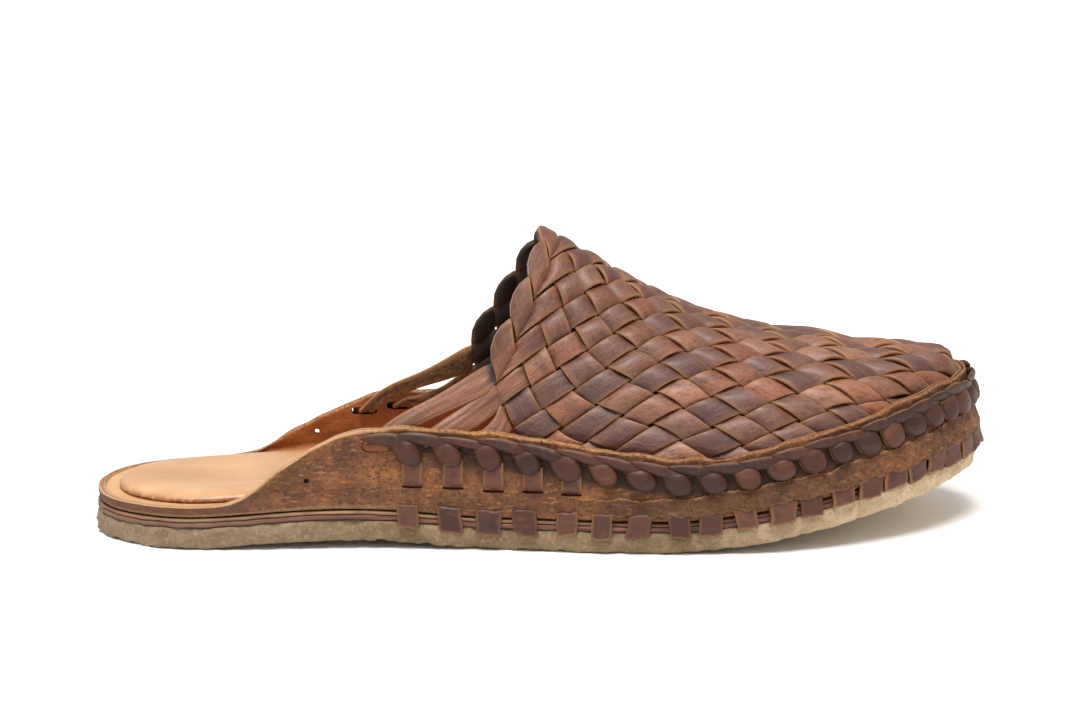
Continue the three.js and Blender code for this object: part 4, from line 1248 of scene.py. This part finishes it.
# %% One strip as a ribbon
FOLD_ROUND = 1.7
SWAY = 0.2
TOE_SINK = 1.6
SINK_ALONG = (248, 270)
TONE_BASE = 0.12
TONE_BY_STRIP = 0.62
TONE_BY_CELL = 0.55
# Painted top light: a cell's tone rises where the vamp faces up and falls where it faces to the side
PAINTED_TOP_LIGHT = 0.4
# A little painted shade all along the free thongs
THONG_DIP_SHADE = 0.3
# How far each strip's UV map is moved on from the last, in mm
UV_APART = {"run": 37.0, "wide": 11.0}


def ribbon(index, family):
    """Rows of vertices of one strip, with its marks: the vamp's surface plus weave and thickness."""
    lane, length, away = strip_grid(index, family)
    if len(lane) < 4:
        return None
    point, normal = on_vamp(*plait_place(lane, length, family))
    roll = np.sqrt(1 - (1 - np.clip(away / FOLD_ROUND, 0, 1)) ** 2)
    height = weave_height(index, lane, length, family) * roll
    thick = STRIP_THICK * CROSS_THICK * (0.75 + 0.25 * roll)
    sway = SWAY * np.sin(length * 2.3 + index * 1.7) * CROSS_WIDE
    side = np.where(point[..., 1] < centre(point[..., 0]), -1, 1)
    above = point[..., 2] - lift(point[..., 0]) - rand_top(point[..., 0], side)
    sunk = TOE_SINK * (1 - ease(above, -1, 6)) * ease(point[..., 0], *SINK_ALONG)
    rows = point + normal * (WEAVE_LEVEL * height + thick + sway - sunk)[..., None]
    lane_at = index + LANE_SHIFT
    cell_at = np.floor(length).astype(int) + CELL_SHIFT
    tone = TONE_BASE + TONE_BY_STRIP * STRIP_TONE[family][lane_at]
    tone = tone + TONE_BY_CELL * CELL_TONE[family][lane_at, cell_at]
    # Painted top light, by the slope of the vamp
    tone = tone + PAINTED_TOP_LIGHT * (normal[..., 2] - 0.7)
    raw = np.maximum(CROSS_RAW, (1 - ease(away, 0.1, 0.8)) * (CROSS_THICK >= 0))
    # The dip mark is painted shade, strongest where the strip lies lowest under its neighbours
    marks = {"tone": tone, "dip": 0.5 - 0.5 * height, "raw": raw, "free": np.zeros(lane.shape)}
    wanted = -1 if family == "outer" else 1
    for slot in THONG_SLOTS:
        if slot["side"] == wanted and slot["strip"] == index:
            extra = thong_rows(slot, rows)[::-1]
            rows = np.concatenate([extra, rows])
            marks["free"] = 1 - ease(length - length[0], 0.6, 1.6)
            on_thong = {"tone": tone[0, 0], "dip": THONG_DIP_SHADE, "raw": CROSS_RAW, "free": 1.0}
            for key, amount in on_thong.items():
                marks[key] = np.concatenate([np.broadcast_to(amount, extra.shape[:2]), marks[key]])
    middle = rows[:, TOP_MIDDLE]
    run = np.concatenate([[0], np.cumsum(np.linalg.norm(np.diff(middle, axis=0), axis=1))])
    wide = WOVEN_HALF * CROSS_WIDE + UV_APART["wide"] * index
    uv = np.stack(np.broadcast_arrays(run[:, None] + UV_APART["run"] * index, wide), -1)
    return {"rows": rows, "uv": uv, "grain": np.broadcast_to(CROSS_GRAIN, rows.shape[:2]), **marks}


print("vertices of one strip:", ribbon(6, "outer")["rows"].shape)

# %% [markdown]
# ## Strip leather
# The strips were cut from waxed hide: satin brown, some mauve and some chestnut, streaked lengthwise and
# paler on the raw cut edges. Their colour also carries painted light: shade where they dive under their
# neighbours, a sheen on the streaks, a lighter top and a darker throat. The flesh side, seen inside the
# shoe and on the thongs, is fibrous, and inside the shoe it is painted dark as shade. An image could
# carry all this, but noise along each strip's own UV map never repeats and needs no picture.

# %% Strip finish
def strip_finish():
    """Satin strips: colour by strip, streaks along it, raw tan edges, fibrous flesh, painted light and
    shade.
    """
    f = Finish("strip_leather", 0.4, Specular_IOR_Level=0.5, Coat_Roughness=0.3)
    streak = f.noise(f.place((70, 900, 1), uv=True), 1.0, 4.0, 0.6)
    cloud = f.noise(f.place((130, 170, 1), uv=True), 1.0, 4.0)
    crease = f.noise(f.place((900, 420, 1), uv=True), 1.0, 5.0, 0.68)
    pore = f.noise(f.place((1500, 1700, 1), uv=True), 1.0, 3.0, 0.6)
    fibre = f.noise(f.place((45, 900, 1), uv=True), 1.0, 5.0, 0.65)
    nap = f.noise(f.place((500, 500, 1), uv=True), 1.0, 5.0, 0.7)
    by_strip = f.colours(
        f.mark("tone"), (0.0, (0.092, 0.035, 0.024)), (0.3, (0.152, 0.058, 0.035)),
        (0.55, (0.205, 0.075, 0.034)), (0.8, (0.28, 0.088, 0.033)), (1.0, (0.34, 0.157, 0.08)),
    )
    height = f.axis("Z")
    # Painted shade: cells high on the vamp, near the throat, turn darker and redder, as they catch less
    # reflected light
    painted_throat_shade = f.blend(f.sharpen(height, 0.046, 0.068, 0.0, 0.55), by_strip, (0.13, 0.034, 0.006))
    # Lengthwise streaks painted paler: partly the hide's own streaks, partly a painted satin sheen
    streaks_and_sheen = f.blend(f.sharpen(streak, 0.47, 0.72, 0.0, 0.3), painted_throat_shade, (0.36, 0.17, 0.09))
    creased = f.blend(f.sharpen(crease, 0.5, 0.36, 0.0, 0.62), streaks_and_sheen, (0.05, 0.02, 0.014))
    clouded = f.blend(f.sharpen(cloud, 0.52, 0.3, 0.0, 0.6), creased, (0.06, 0.024, 0.017))
    # The flesh side inside the shoe is painted near black as shade; on the thongs it keeps its own colour
    inside = f.colours(nap, (0.3, (0.018, 0.008, 0.004)), (0.7, (0.085, 0.04, 0.017)))
    woven = f.blend(f.mark("grain"), inside, clouded)
    split = f.colours(
        fibre, (0.34, (0.09, 0.03, 0.014)), (0.5, (0.21, 0.078, 0.036)), (0.66, (0.37, 0.165, 0.085)),
    )
    flesh = f.colours(
        nap, (0.34, (0.04, 0.018, 0.008)), (0.5, (0.13, 0.06, 0.023)), (0.66, (0.27, 0.14, 0.055)),
    )
    thong = f.blend(f.mark("grain"), flesh, split)
    sides = f.blend(f.mark("free"), woven, thong)
    edged = f.blend(f.math("MULTIPLY", f.mark("raw"), 0.85), sides, (0.4, 0.185, 0.07))
    # Painted shade, near black, where a strip dives under its neighbours
    colour = f.blend(f.sharpen(f.mark("dip"), 0.27, 0.85, 0.0, 0.92), edged, (0.014, 0.006, 0.004))
    satin = f.sharpen(streak, 0.3, 0.7, 0.36, 0.54)
    rough = f.math("SUBTRACT", 1.0, f.math("MULTIPLY", f.mark("grain"), f.math("SUBTRACT", 1.0, satin)))
    f.set(f.shader.inputs["Coat Weight"], f.math("MULTIPLY", f.mark("grain"), 0.2))
    bumps = [(cloud, 0.4, 0.0014), (streak, 0.25, 0.0004), (crease, 0.7, 0.0006), (pore, 0.3, 0.0003)]
    return f.done(colour, bumps, rough)


strip_leather = strip_finish()

# %% Weave the vamp
LAST_STRIP = 21


def weave(family):
    """All strips of one direction, joined into whole arrays."""
    strips = [ribbon(index, family) for index in range(-OUTERMOST_LEAF, LAST_STRIP + 1)]
    strips = [s for s in strips if s]
    around = len(CROSS_WIDE)
    counts = [len(s["rows"]) * around for s in strips]
    offsets = np.concatenate([[0], np.cumsum(counts)[:-1]])
    made = [tube_faces(len(s["rows"]), around) for s in strips]
    faces = [np.concatenate([m[k] + o for m, o in zip(made, offsets)]) for k in (0, 1)]
    flat = {
        key: np.concatenate([s[key].reshape(-1, *s[key].shape[2:]) for s in strips])
        for key in strips[0]
    }
    return len(strips), flat, faces


for family in ("outer", "inner"):
    count, flat, faces = weave(family)
    made = put_mesh(
        "strips_climbing_" + family, flat["rows"], faces, strip_leather, "strip_leather", flat["uv"],
        tone=flat["tone"], dip=flat["dip"], free=flat["free"], grain=flat["grain"], raw=flat["raw"],
    )
    print("strips:", count)
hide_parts("vamp")

# %% [markdown]
# ## Lacing leather
# The thong and its turns are the same waxed leather, coloured darker than the vamp's strips, with pale
# raw edges. They could share the strips' finish, but a recipe with three given browns is simpler, and it
# serves the flat strip ends below as well.

# %% Lacing finish
def lacing_finish(name, dark, middle, light):
    """Satin lacing: one of three browns by tone, clouded darker, with fine creases and raw tan edges."""
    f = Finish(name, 0.5, Specular_IOR_Level=0.36, Coat_Weight=0.05, Coat_Roughness=0.35)
    spot = f.place()
    cloud = f.noise(spot, 190.0, 4.0)
    crease = f.noise(f.place((500, 160, 1), uv=True), 1.0, 4.0, 0.6)
    pore = f.noise(spot, 1800.0, 3.0)
    base = f.colours(f.mark("tone"), (0.0, dark), (0.5, middle), (1.0, light))
    clouded = f.blend(f.sharpen(cloud, 0.5, 0.32, 0.0, 0.6), base, (0.025, 0.009, 0.006))
    creased = f.blend(f.sharpen(crease, 0.52, 0.7, 0.0, 0.3), clouded, (0.2, 0.08, 0.038))
    colour = f.blend(f.mark("raw"), creased, (0.38, 0.175, 0.06))
    rough = f.sharpen(cloud, 0.3, 0.7, 0.42, 0.64)
    return f.done(colour, [(cloud, 0.3, 0.001), (crease, 0.35, 0.0005), (pore, 0.15, 0.00015)], rough)


lacing_leather = lacing_finish(
    "lacing_leather", (0.03, 0.0082, 0.0038), (0.054, 0.015, 0.0062), (0.092, 0.0265, 0.01),
)
tab_leather = lacing_finish(
    "tab_leather", (0.054, 0.017, 0.009), (0.086, 0.0275, 0.0135), (0.125, 0.043, 0.02),
)

# %% [markdown]
# ## Thong along the rand
# Between two turns of the lacing the thong shows as one petal: thick in the middle, tucked under the next
# one at its lower front end. A twisted curve with a bevel could stand for it, but the overlaps are what
# the eye sees, so each petal is a tapered tube of its own.

# %% Rope petals
PETAL_ROWS = 19
PETAL_AROUND = 14
PETAL_BEHIND = 3.4
PETAL_AHEAD = 3.8
PETAL_DROP = 3.4
PETAL_RISE = 1.3
PETAL_FALL = 2.8
PETAL_OUT = 1.2
PETAL_HIGH = 2.0


def petal_points():
    """Tapered tubes: a keeled oval carried from each turn to the next, falling and sinking as it goes."""
    ends = np.concatenate([[-ROPE_END], LACES, [ROPE_END]])
    start = ends[:-1, None] - PETAL_BEHIND
    stop = ends[1:, None] + PETAL_AHEAD
    share = np.linspace(0, 1, PETAL_ROWS)[None]
    edge = start + (stop - start) * share
    taper = np.maximum(0.06, np.sin(np.pi * np.clip(share * 0.97 + 0.02, 0, 1)) ** 0.75)
    up = edge_top(edge) - PETAL_DROP + PETAL_RISE - PETAL_FALL * share
    seat = 0.35 - rand_face(edge, up) + 1.25 + (0.5 - share)
    angle = np.linspace(0, 2 * np.pi, PETAL_AROUND, endpoint=False)
    draw = np.random.default_rng(41)
    swell = draw.uniform(0.72, 1.12, (len(start), 1, 1))
    slip = draw.uniform(-0.5, 0.5, (len(start), 1))
    keel = np.sign(np.cos(angle)) * np.abs(np.cos(angle)) ** 1.25
    up = up + slip * np.sin(np.pi * share)
    out = seat[..., None] + PETAL_OUT * taper[..., None] * swell * keel
    high = up[..., None] + PETAL_HIGH * taper[..., None] * swell * np.sin(angle)
    return edge, edge_point(np.broadcast_to(edge[..., None], out.shape), out, high)


edge, points = petal_points()
shape = points.shape[:3]
tone = one_each(np.random.default_rng(42), 0.0, 0.8, shape)
uv = np.stack(np.broadcast_arrays(edge[..., None], 1.6 * np.arange(PETAL_AROUND)), -1)
# Only the top edge of each petal is pale: a raw edge, painted paler as a highlight where the light falls
lit_top_edge = np.zeros(PETAL_AROUND)
lit_top_edge[PETAL_AROUND // 4] = 0.45
put_mesh(
    "rand_thong", points, joined_tubes(*shape), lacing_leather, "lacing_leather", uv,
    tone=tone, raw=lit_top_edge * np.ones(shape),
)

# %% [markdown]
# ## Ends of the rear thongs
# Each free thong stops in its slot. At the rearmost slots a bit of it stands out of the rand, and the
# others are closed. Painted shade darkens the ends, most in the closed slots. The ribbon could be carried
# on through the wall, but its flat end would let light through beside it. So a lumpy ellipsoid sits in
# each slot: its outer half is the end that shows, and its hidden half is squarer and fills the slot.

# %% Ends of the rear thongs
END_ROWS = 15
END_AROUND = 12
END_INSET = 1.6
END_THICK = 1.2
END_OUTSIDE = {"long": 4.5, "high": 1.75, "power": 4}
END_WITHIN = {"long": 5.2, "high": 2.2, "power": 10}


def end_rows(slot):
    """Lumpy ellipsoid in a slot, as rings along it: round outside, squarer in its hidden half."""
    height = rand_top(slot["along"], slot["side"]) - SLOT_DROP
    middle, way = side_place(slot["along"], slot["side"], END_INSET, height)
    outwards = np.cross(way, [0, 0, 1])
    outwards *= np.sign(outwards[1] * slot["side"])
    run = np.linspace(-0.995, 0.995, END_ROWS)[:, None]
    angle = np.linspace(0, 2 * np.pi, END_AROUND, endpoint=False)[None]
    within = np.cos(angle) < -0.01
    long, power = [np.where(within, END_WITHIN[key], END_OUTSIDE[key]) for key in ("long", "power")]
    thin = (1 - run ** power) ** 0.5
    filled = END_WITHIN["high"] * np.sign(np.sin(angle)) * np.abs(np.sin(angle)) ** 0.3
    up = np.where(within, filled, END_OUTSIDE["high"] * np.sin(angle))
    spot = middle + (long * run)[..., None] * way
    spot = spot + (END_THICK * thin * np.cos(angle))[..., None] * outwards
    spot = spot + (thin * up)[..., None] * [0, 0, 1]
    return spot + outwards * (0.45 * lumps(spot, 2.0, 45) * thin * np.cos(angle))[..., None]


rows = np.array([end_rows(slot) for slot in THONG_SLOTS])
rearmost = min(slot["strip"] for slot in THONG_SLOTS)
shown = np.array([slot["strip"] == rearmost for slot in THONG_SLOTS])
shown = shown[:, None, None] * np.ones(rows.shape[:3])
# Painted shade on the ends: heavy in the closed slots, light on the ends that show
put_mesh(
    "thong_ends", rows, joined_tubes(len(rows), END_ROWS, END_AROUND), rand_leather, "rand_leather",
    inner_face=0.8 * shown, raw_edge=0 * shown, hollow=0.9 - 0.55 * shown,
)

# %% [markdown]
# ## Turns of the lacing
# Under the thong each strip shows once more, as a slanting turn that bulges and tucks in at its foot.
# Towards the heel the turns stand further above the sole, and a short flat strap leads on from each into
# a slit. They could be sculpted one by one. As closed slabs, with a grid for the front, the same grid set
# back for the rear and a rim between, one function makes them all and varies each a little.

# %% Slab helpers
def slab_uv(shape, tall, wide, apart):
    """UV in mm: down the rows and across the columns, each slab moved on so that no two share a patch."""
    count, _, rows, columns = shape
    down = np.linspace(0, tall, rows)[None, None, :, None] + apart * np.arange(count)[:, None, None, None]
    return np.stack(np.broadcast_arrays(down, np.linspace(0, wide, columns) + np.zeros(shape)), -1)


def slab_faces(count, rows, columns):
    """Faces of `count` slabs: front quads, back quads turned round, and quads round the rim."""
    grid = np.arange(rows * columns).reshape(rows, columns)
    front = np.stack([grid[:-1, :-1], grid[:-1, 1:], grid[1:, 1:], grid[1:, :-1]], -1).reshape(-1, 4)
    loop = np.concatenate([grid[0, :-1], grid[:-1, -1], grid[-1, :0:-1], grid[:0:-1, 0]])
    after = np.roll(loop, -1)
    size = rows * columns
    rim = np.stack([after, loop, loop + size, after + size], -1)
    one = np.concatenate([front, front[:, ::-1] + size, rim])
    return [(one[None] + (np.arange(count) * 2 * size)[:, None, None]).reshape(-1, 4)]


def raw_rim(rows, columns, top, bottom, sides):
    """Share of pale raw leather: on the first and last row and on the side columns of a slab."""
    mark = np.zeros((rows, columns))
    mark[:, 0] = np.maximum(mark[:, 0], sides)
    mark[:, -1] = np.maximum(mark[:, -1], sides)
    mark[0] = np.maximum(mark[0], top)
    mark[-1] = np.maximum(mark[-1], bottom)
    return np.stack([mark, 0.3 * mark])


print("quads of a slab of 3 x 3 points:", len(slab_faces(1, 3, 3)[0]))

# %% Lacing turns
TURN_ROWS = 13
TURN_COLUMNS = 13
TURN_HALF = 3.95
TURN_LEAN = 1.9
TURN_TILT = 0.9
TURN_DROP = 7.4


def turn_points(laces):
    """Bulging slabs: shields with a flat top and a rounded foot, leaning towards the toe as they fall."""
    draw = np.random.default_rng(51)
    place = laces[:, None, None]
    toeward = -np.sign(place)
    q = np.sin(np.linspace(-0.5, 0.5, TURN_ROWS) * np.pi)[None, :, None]
    p = np.sin(np.linspace(-0.5, 0.5, TURN_COLUMNS) * np.pi)[None, None]
    foot = np.maximum(q, 0) ** 2
    round_p = p * np.sqrt(1 - 0.16 * q ** 2 - 0.34 * foot)
    round_q = q * np.sqrt(1 - (0.14 + 0.3 * (q > 0)) * p ** 2)
    half_wide = TURN_HALF + draw.uniform(-0.6, 0.35, place.shape)
    half_tall = TURN_HALF + draw.uniform(-0.45, 0.35, place.shape)
    lean = TURN_LEAN + draw.uniform(-0.4, 0.4, place.shape)
    tilt = TURN_TILT + draw.uniform(-0.5, 0.5, place.shape)
    middle = edge_top(place) - TURN_DROP - 0.9 * (1 - ease(np.abs(place), 20, 90))
    edge = place + toeward * (half_wide * round_p + lean * round_q)
    up = middle - half_tall * round_q + tilt * round_p
    dome = (1 - np.abs(p) ** 2.6) ** 0.6 * (1 - np.abs(q) ** 2.6) ** 0.6
    bulge = 0.75 + 2.1 * dome - 0.25 * np.exp(-((p + 0.3) ** 2 + (q + 0.4) ** 2) / 0.15)
    out = bulge + 0.35 - rand_face(edge, up)
    front = edge_point(edge, out, up)
    rear = edge_point(edge, np.maximum(out - 1.2, 0.05 - rand_face(edge, up)), up)
    return np.stack([front, rear], 1)


shape = (len(LACES), 2, TURN_ROWS, TURN_COLUMNS)
# Pale raw edge along the top and the upper heelward side of each turn only: cut edges, painted paler as
# highlights on the sides the light falls on
raw = raw_rim(TURN_ROWS, TURN_COLUMNS, 1.0, 0.1, 0.1)
raw[:, :9, 0] = 0.9
raw[0, 1, 1:8] = 0.45
turns = put_mesh(
    "lacing_turns", turn_points(LACES), slab_faces(len(LACES), TURN_ROWS, TURN_COLUMNS),
    lacing_leather, "lacing_leather", slab_uv(shape, 8, 7, 31.0),
    tone=one_each(np.random.default_rng(52), 0.2, 1, shape), raw=raw * np.ones(shape),
)
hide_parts("edge_lacing")

# %% Straps below the rear turns
STRAP_ROWS = np.array([0, 0.2, 0.4, 0.6, 0.78, 0.9, 1.0])
STRAP_COLUMNS = 7
STRAP_HALF = 3.1
STRAP_DROP = 9.0


def strap_points(laces, slits):
    """Flat slabs from the foot of a turn down to its slit, where they bend into the wall."""
    place = laces[:, None, None]
    toeward = -np.sign(place)
    q = STRAP_ROWS[None, :, None]
    p = np.linspace(-1, 1, STRAP_COLUMNS)[None, None]
    top = edge_top(place) - STRAP_DROP
    low = np.minimum(top - 1.5, slits[:, None, None])
    up = top + (low - top) * q
    edge = place + toeward * STRAP_SHIFT + p * (STRAP_HALF + 0.2 * q)
    out = 1.1 - 0.3 * q - 0.25 * p ** 4 - 1.6 * ease(q, 0.78, 1.0) - rand_face(edge, up)
    front = edge_point(edge, out, up)
    rear = edge_point(edge, np.minimum(out - 0.9, 0.1 - rand_face(edge, up)), up)
    return np.stack([front, rear], 1)


shape = (len(STRAPPED), 2, len(STRAP_ROWS), STRAP_COLUMNS)
raw = raw_rim(len(STRAP_ROWS), STRAP_COLUMNS, 0.0, 0.0, 0.5)
put_mesh(
    "lacing_straps", strap_points(STRAPPED, SLIT_HEIGHT),
    slab_faces(len(STRAPPED), len(STRAP_ROWS), STRAP_COLUMNS),
    tab_leather, "lacing_leather", slab_uv(shape, 7, 6, 17.0),
    tone=one_each(np.random.default_rng(62), 0.6, 1.3, shape), raw=raw * np.ones(shape),
)

# %% [markdown]
# ## Strip ends
# Below, each strip comes out again under the footbed's edge and is cut off flat over the midsole and the
# top of the crepe. No two ends are cut alike. Copies of one block would look stamped, so width, skew and
# length vary a little from one to the next.

# %% Strip ends
TAB_ROWS = 9
TAB_COLUMNS = 9
TAB_HALF = 3.75
TAB_TOP = 13.3
TAB_LOW = 5.3


def tab_points(laces):
    """Slabs over the midsole's edge: nearly square, skewed, with eased corners and a lifted foot."""
    draw = np.random.default_rng(71)
    place = laces[:, None, None]
    q = np.linspace(0, 1, TAB_ROWS)[None, :, None]
    p = np.linspace(-1, 1, TAB_COLUMNS)[None, None]
    ahead = 1 - ease(np.abs(place), 60, 140)
    half_wide = TAB_HALF + draw.uniform(-0.6, 0.45, place.shape) + 0.35 * ahead
    skew = draw.uniform(-1.3, 1.3, place.shape)
    top = TAB_TOP + draw.uniform(-0.3, 0.3, place.shape)
    low = TAB_LOW + draw.uniform(-0.6, 0.7, place.shape) + draw.uniform(-0.6, 0.6, place.shape) * p
    low = low + 1.2 * ahead
    up = top + (low - top) * q
    slide = draw.uniform(-0.8, 0.8, place.shape)
    edge = place + slide + skew * (q - 0.5) + p * half_wide * (1 - 0.05 * q)
    spot = np.stack(np.broadcast_arrays(edge, up, 0), -1)
    edge = edge + 0.13 * lumps(spot, 3.4, 73)
    up = up + 0.14 * lumps(spot, 2.8, 74)
    eased = 0.45 * p ** 8 + 0.35 * (1 - q) ** 6 + 0.25 * q ** 8
    out = 1.55 + 0.35 * q ** 3 + 0.12 * np.sin(5 * q + 9 * skew) - eased
    out = out + 1.2 * q ** 2 * (1 - ease(np.abs(place), 8, 30))
    front = edge_point(edge, out, up)
    rear = edge_point(edge, np.full(edge.shape, 0.3), up)
    return np.stack([front, rear], 1)


shape = (len(LACES), 2, TAB_ROWS, TAB_COLUMNS)
draw = np.random.default_rng(72)
tone = one_each(draw, 0, 1, shape)
raw = raw_rim(TAB_ROWS, TAB_COLUMNS, 0.0, 1.0, 0.7) * one_each(draw, 0.2, 1, shape)
tabs = put_mesh(
    "strip_ends", tab_points(LACES), slab_faces(len(LACES), TAB_ROWS, TAB_COLUMNS),
    tab_leather, "tab_leather", slab_uv(shape, 7.6, 7.6, 23.0), tone=tone, raw=raw,
)
tab_nodes = [f"lace_tab_{side}_{k:02d}" for side in ("outer", "inner") for k in range(1, LACE_COUNT + 1)]
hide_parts(*tab_nodes)

# %% [markdown]
# ## Band over the strip ends
# In front of the waist a torn strip of the rand's own leather lies over the tops of the strip ends: its
# upper edge makes a small ledge under the turns, its lower edge is ragged. A bump could hint at it, but
# both edges throw shadows, so it is one long slab, faded into the rand at the back.

# %% Band over the strip ends
BAND_REACH = 168.0
BAND_ROWS = 9
BAND_COLUMNS = 841
BAND_TOP = 17.4
BAND_FOOT = 12.3


def band_points():
    """A slab along the edge: top and foot waver with summed sines, and the foot clears the strip ends."""
    edge = np.linspace(-BAND_REACH, BAND_REACH, BAND_COLUMNS)[None]
    spot = np.stack([edge, 0 * edge, 0 * edge], -1)
    share = np.linspace(0, 1, BAND_ROWS)[:, None]
    fade = ease(BAND_REACH - np.abs(edge), 2, 34)
    far = np.abs(edge)
    top = BAND_TOP + 1.8 * (1 - ease(far, 95, 150)) + 0.7 * (1 - ease(far, 20, 80))
    top = top + 0.3 * lumps(spot, 9.0, 81) + 0.13 * lumps(spot, 2.4, 82)
    foot = BAND_FOOT + 0.3 * lumps(spot, 7.0, 83) + 0.13 * lumps(spot, 2.0, 84)
    up = top + (foot - top) * share
    full = np.broadcast_to(edge, up.shape)
    face = rand_face(full, up)
    stand = 0.95 + 1.05 * share ** 2 - 0.35 * (1 - share) ** 8 - 0.3 * share ** 12
    out = stand + 0.12 * lumps(np.stack(np.broadcast_arrays(edge, up, 0), -1), 5.0, 85)
    out = out * fade - 0.25 * (1 - fade)
    return np.stack([edge_point(full, out - face, up), edge_point(full, -0.4 - face, up)])[None]


mark = raw_rim(BAND_ROWS, BAND_COLUMNS, 1.0, 0.6, 0.0)[None]
shade = 0.14 + 0.3 * ease(np.abs(np.linspace(-BAND_REACH, BAND_REACH, BAND_COLUMNS)), 35, 110)
put_mesh(
    "rand_band", band_points(), slab_faces(1, BAND_ROWS, BAND_COLUMNS), rand_leather, "rand_leather",
    inner_face=np.zeros(mark.shape), raw_edge=mark, hollow=shade * (1 - mark),
)

# %% [markdown]
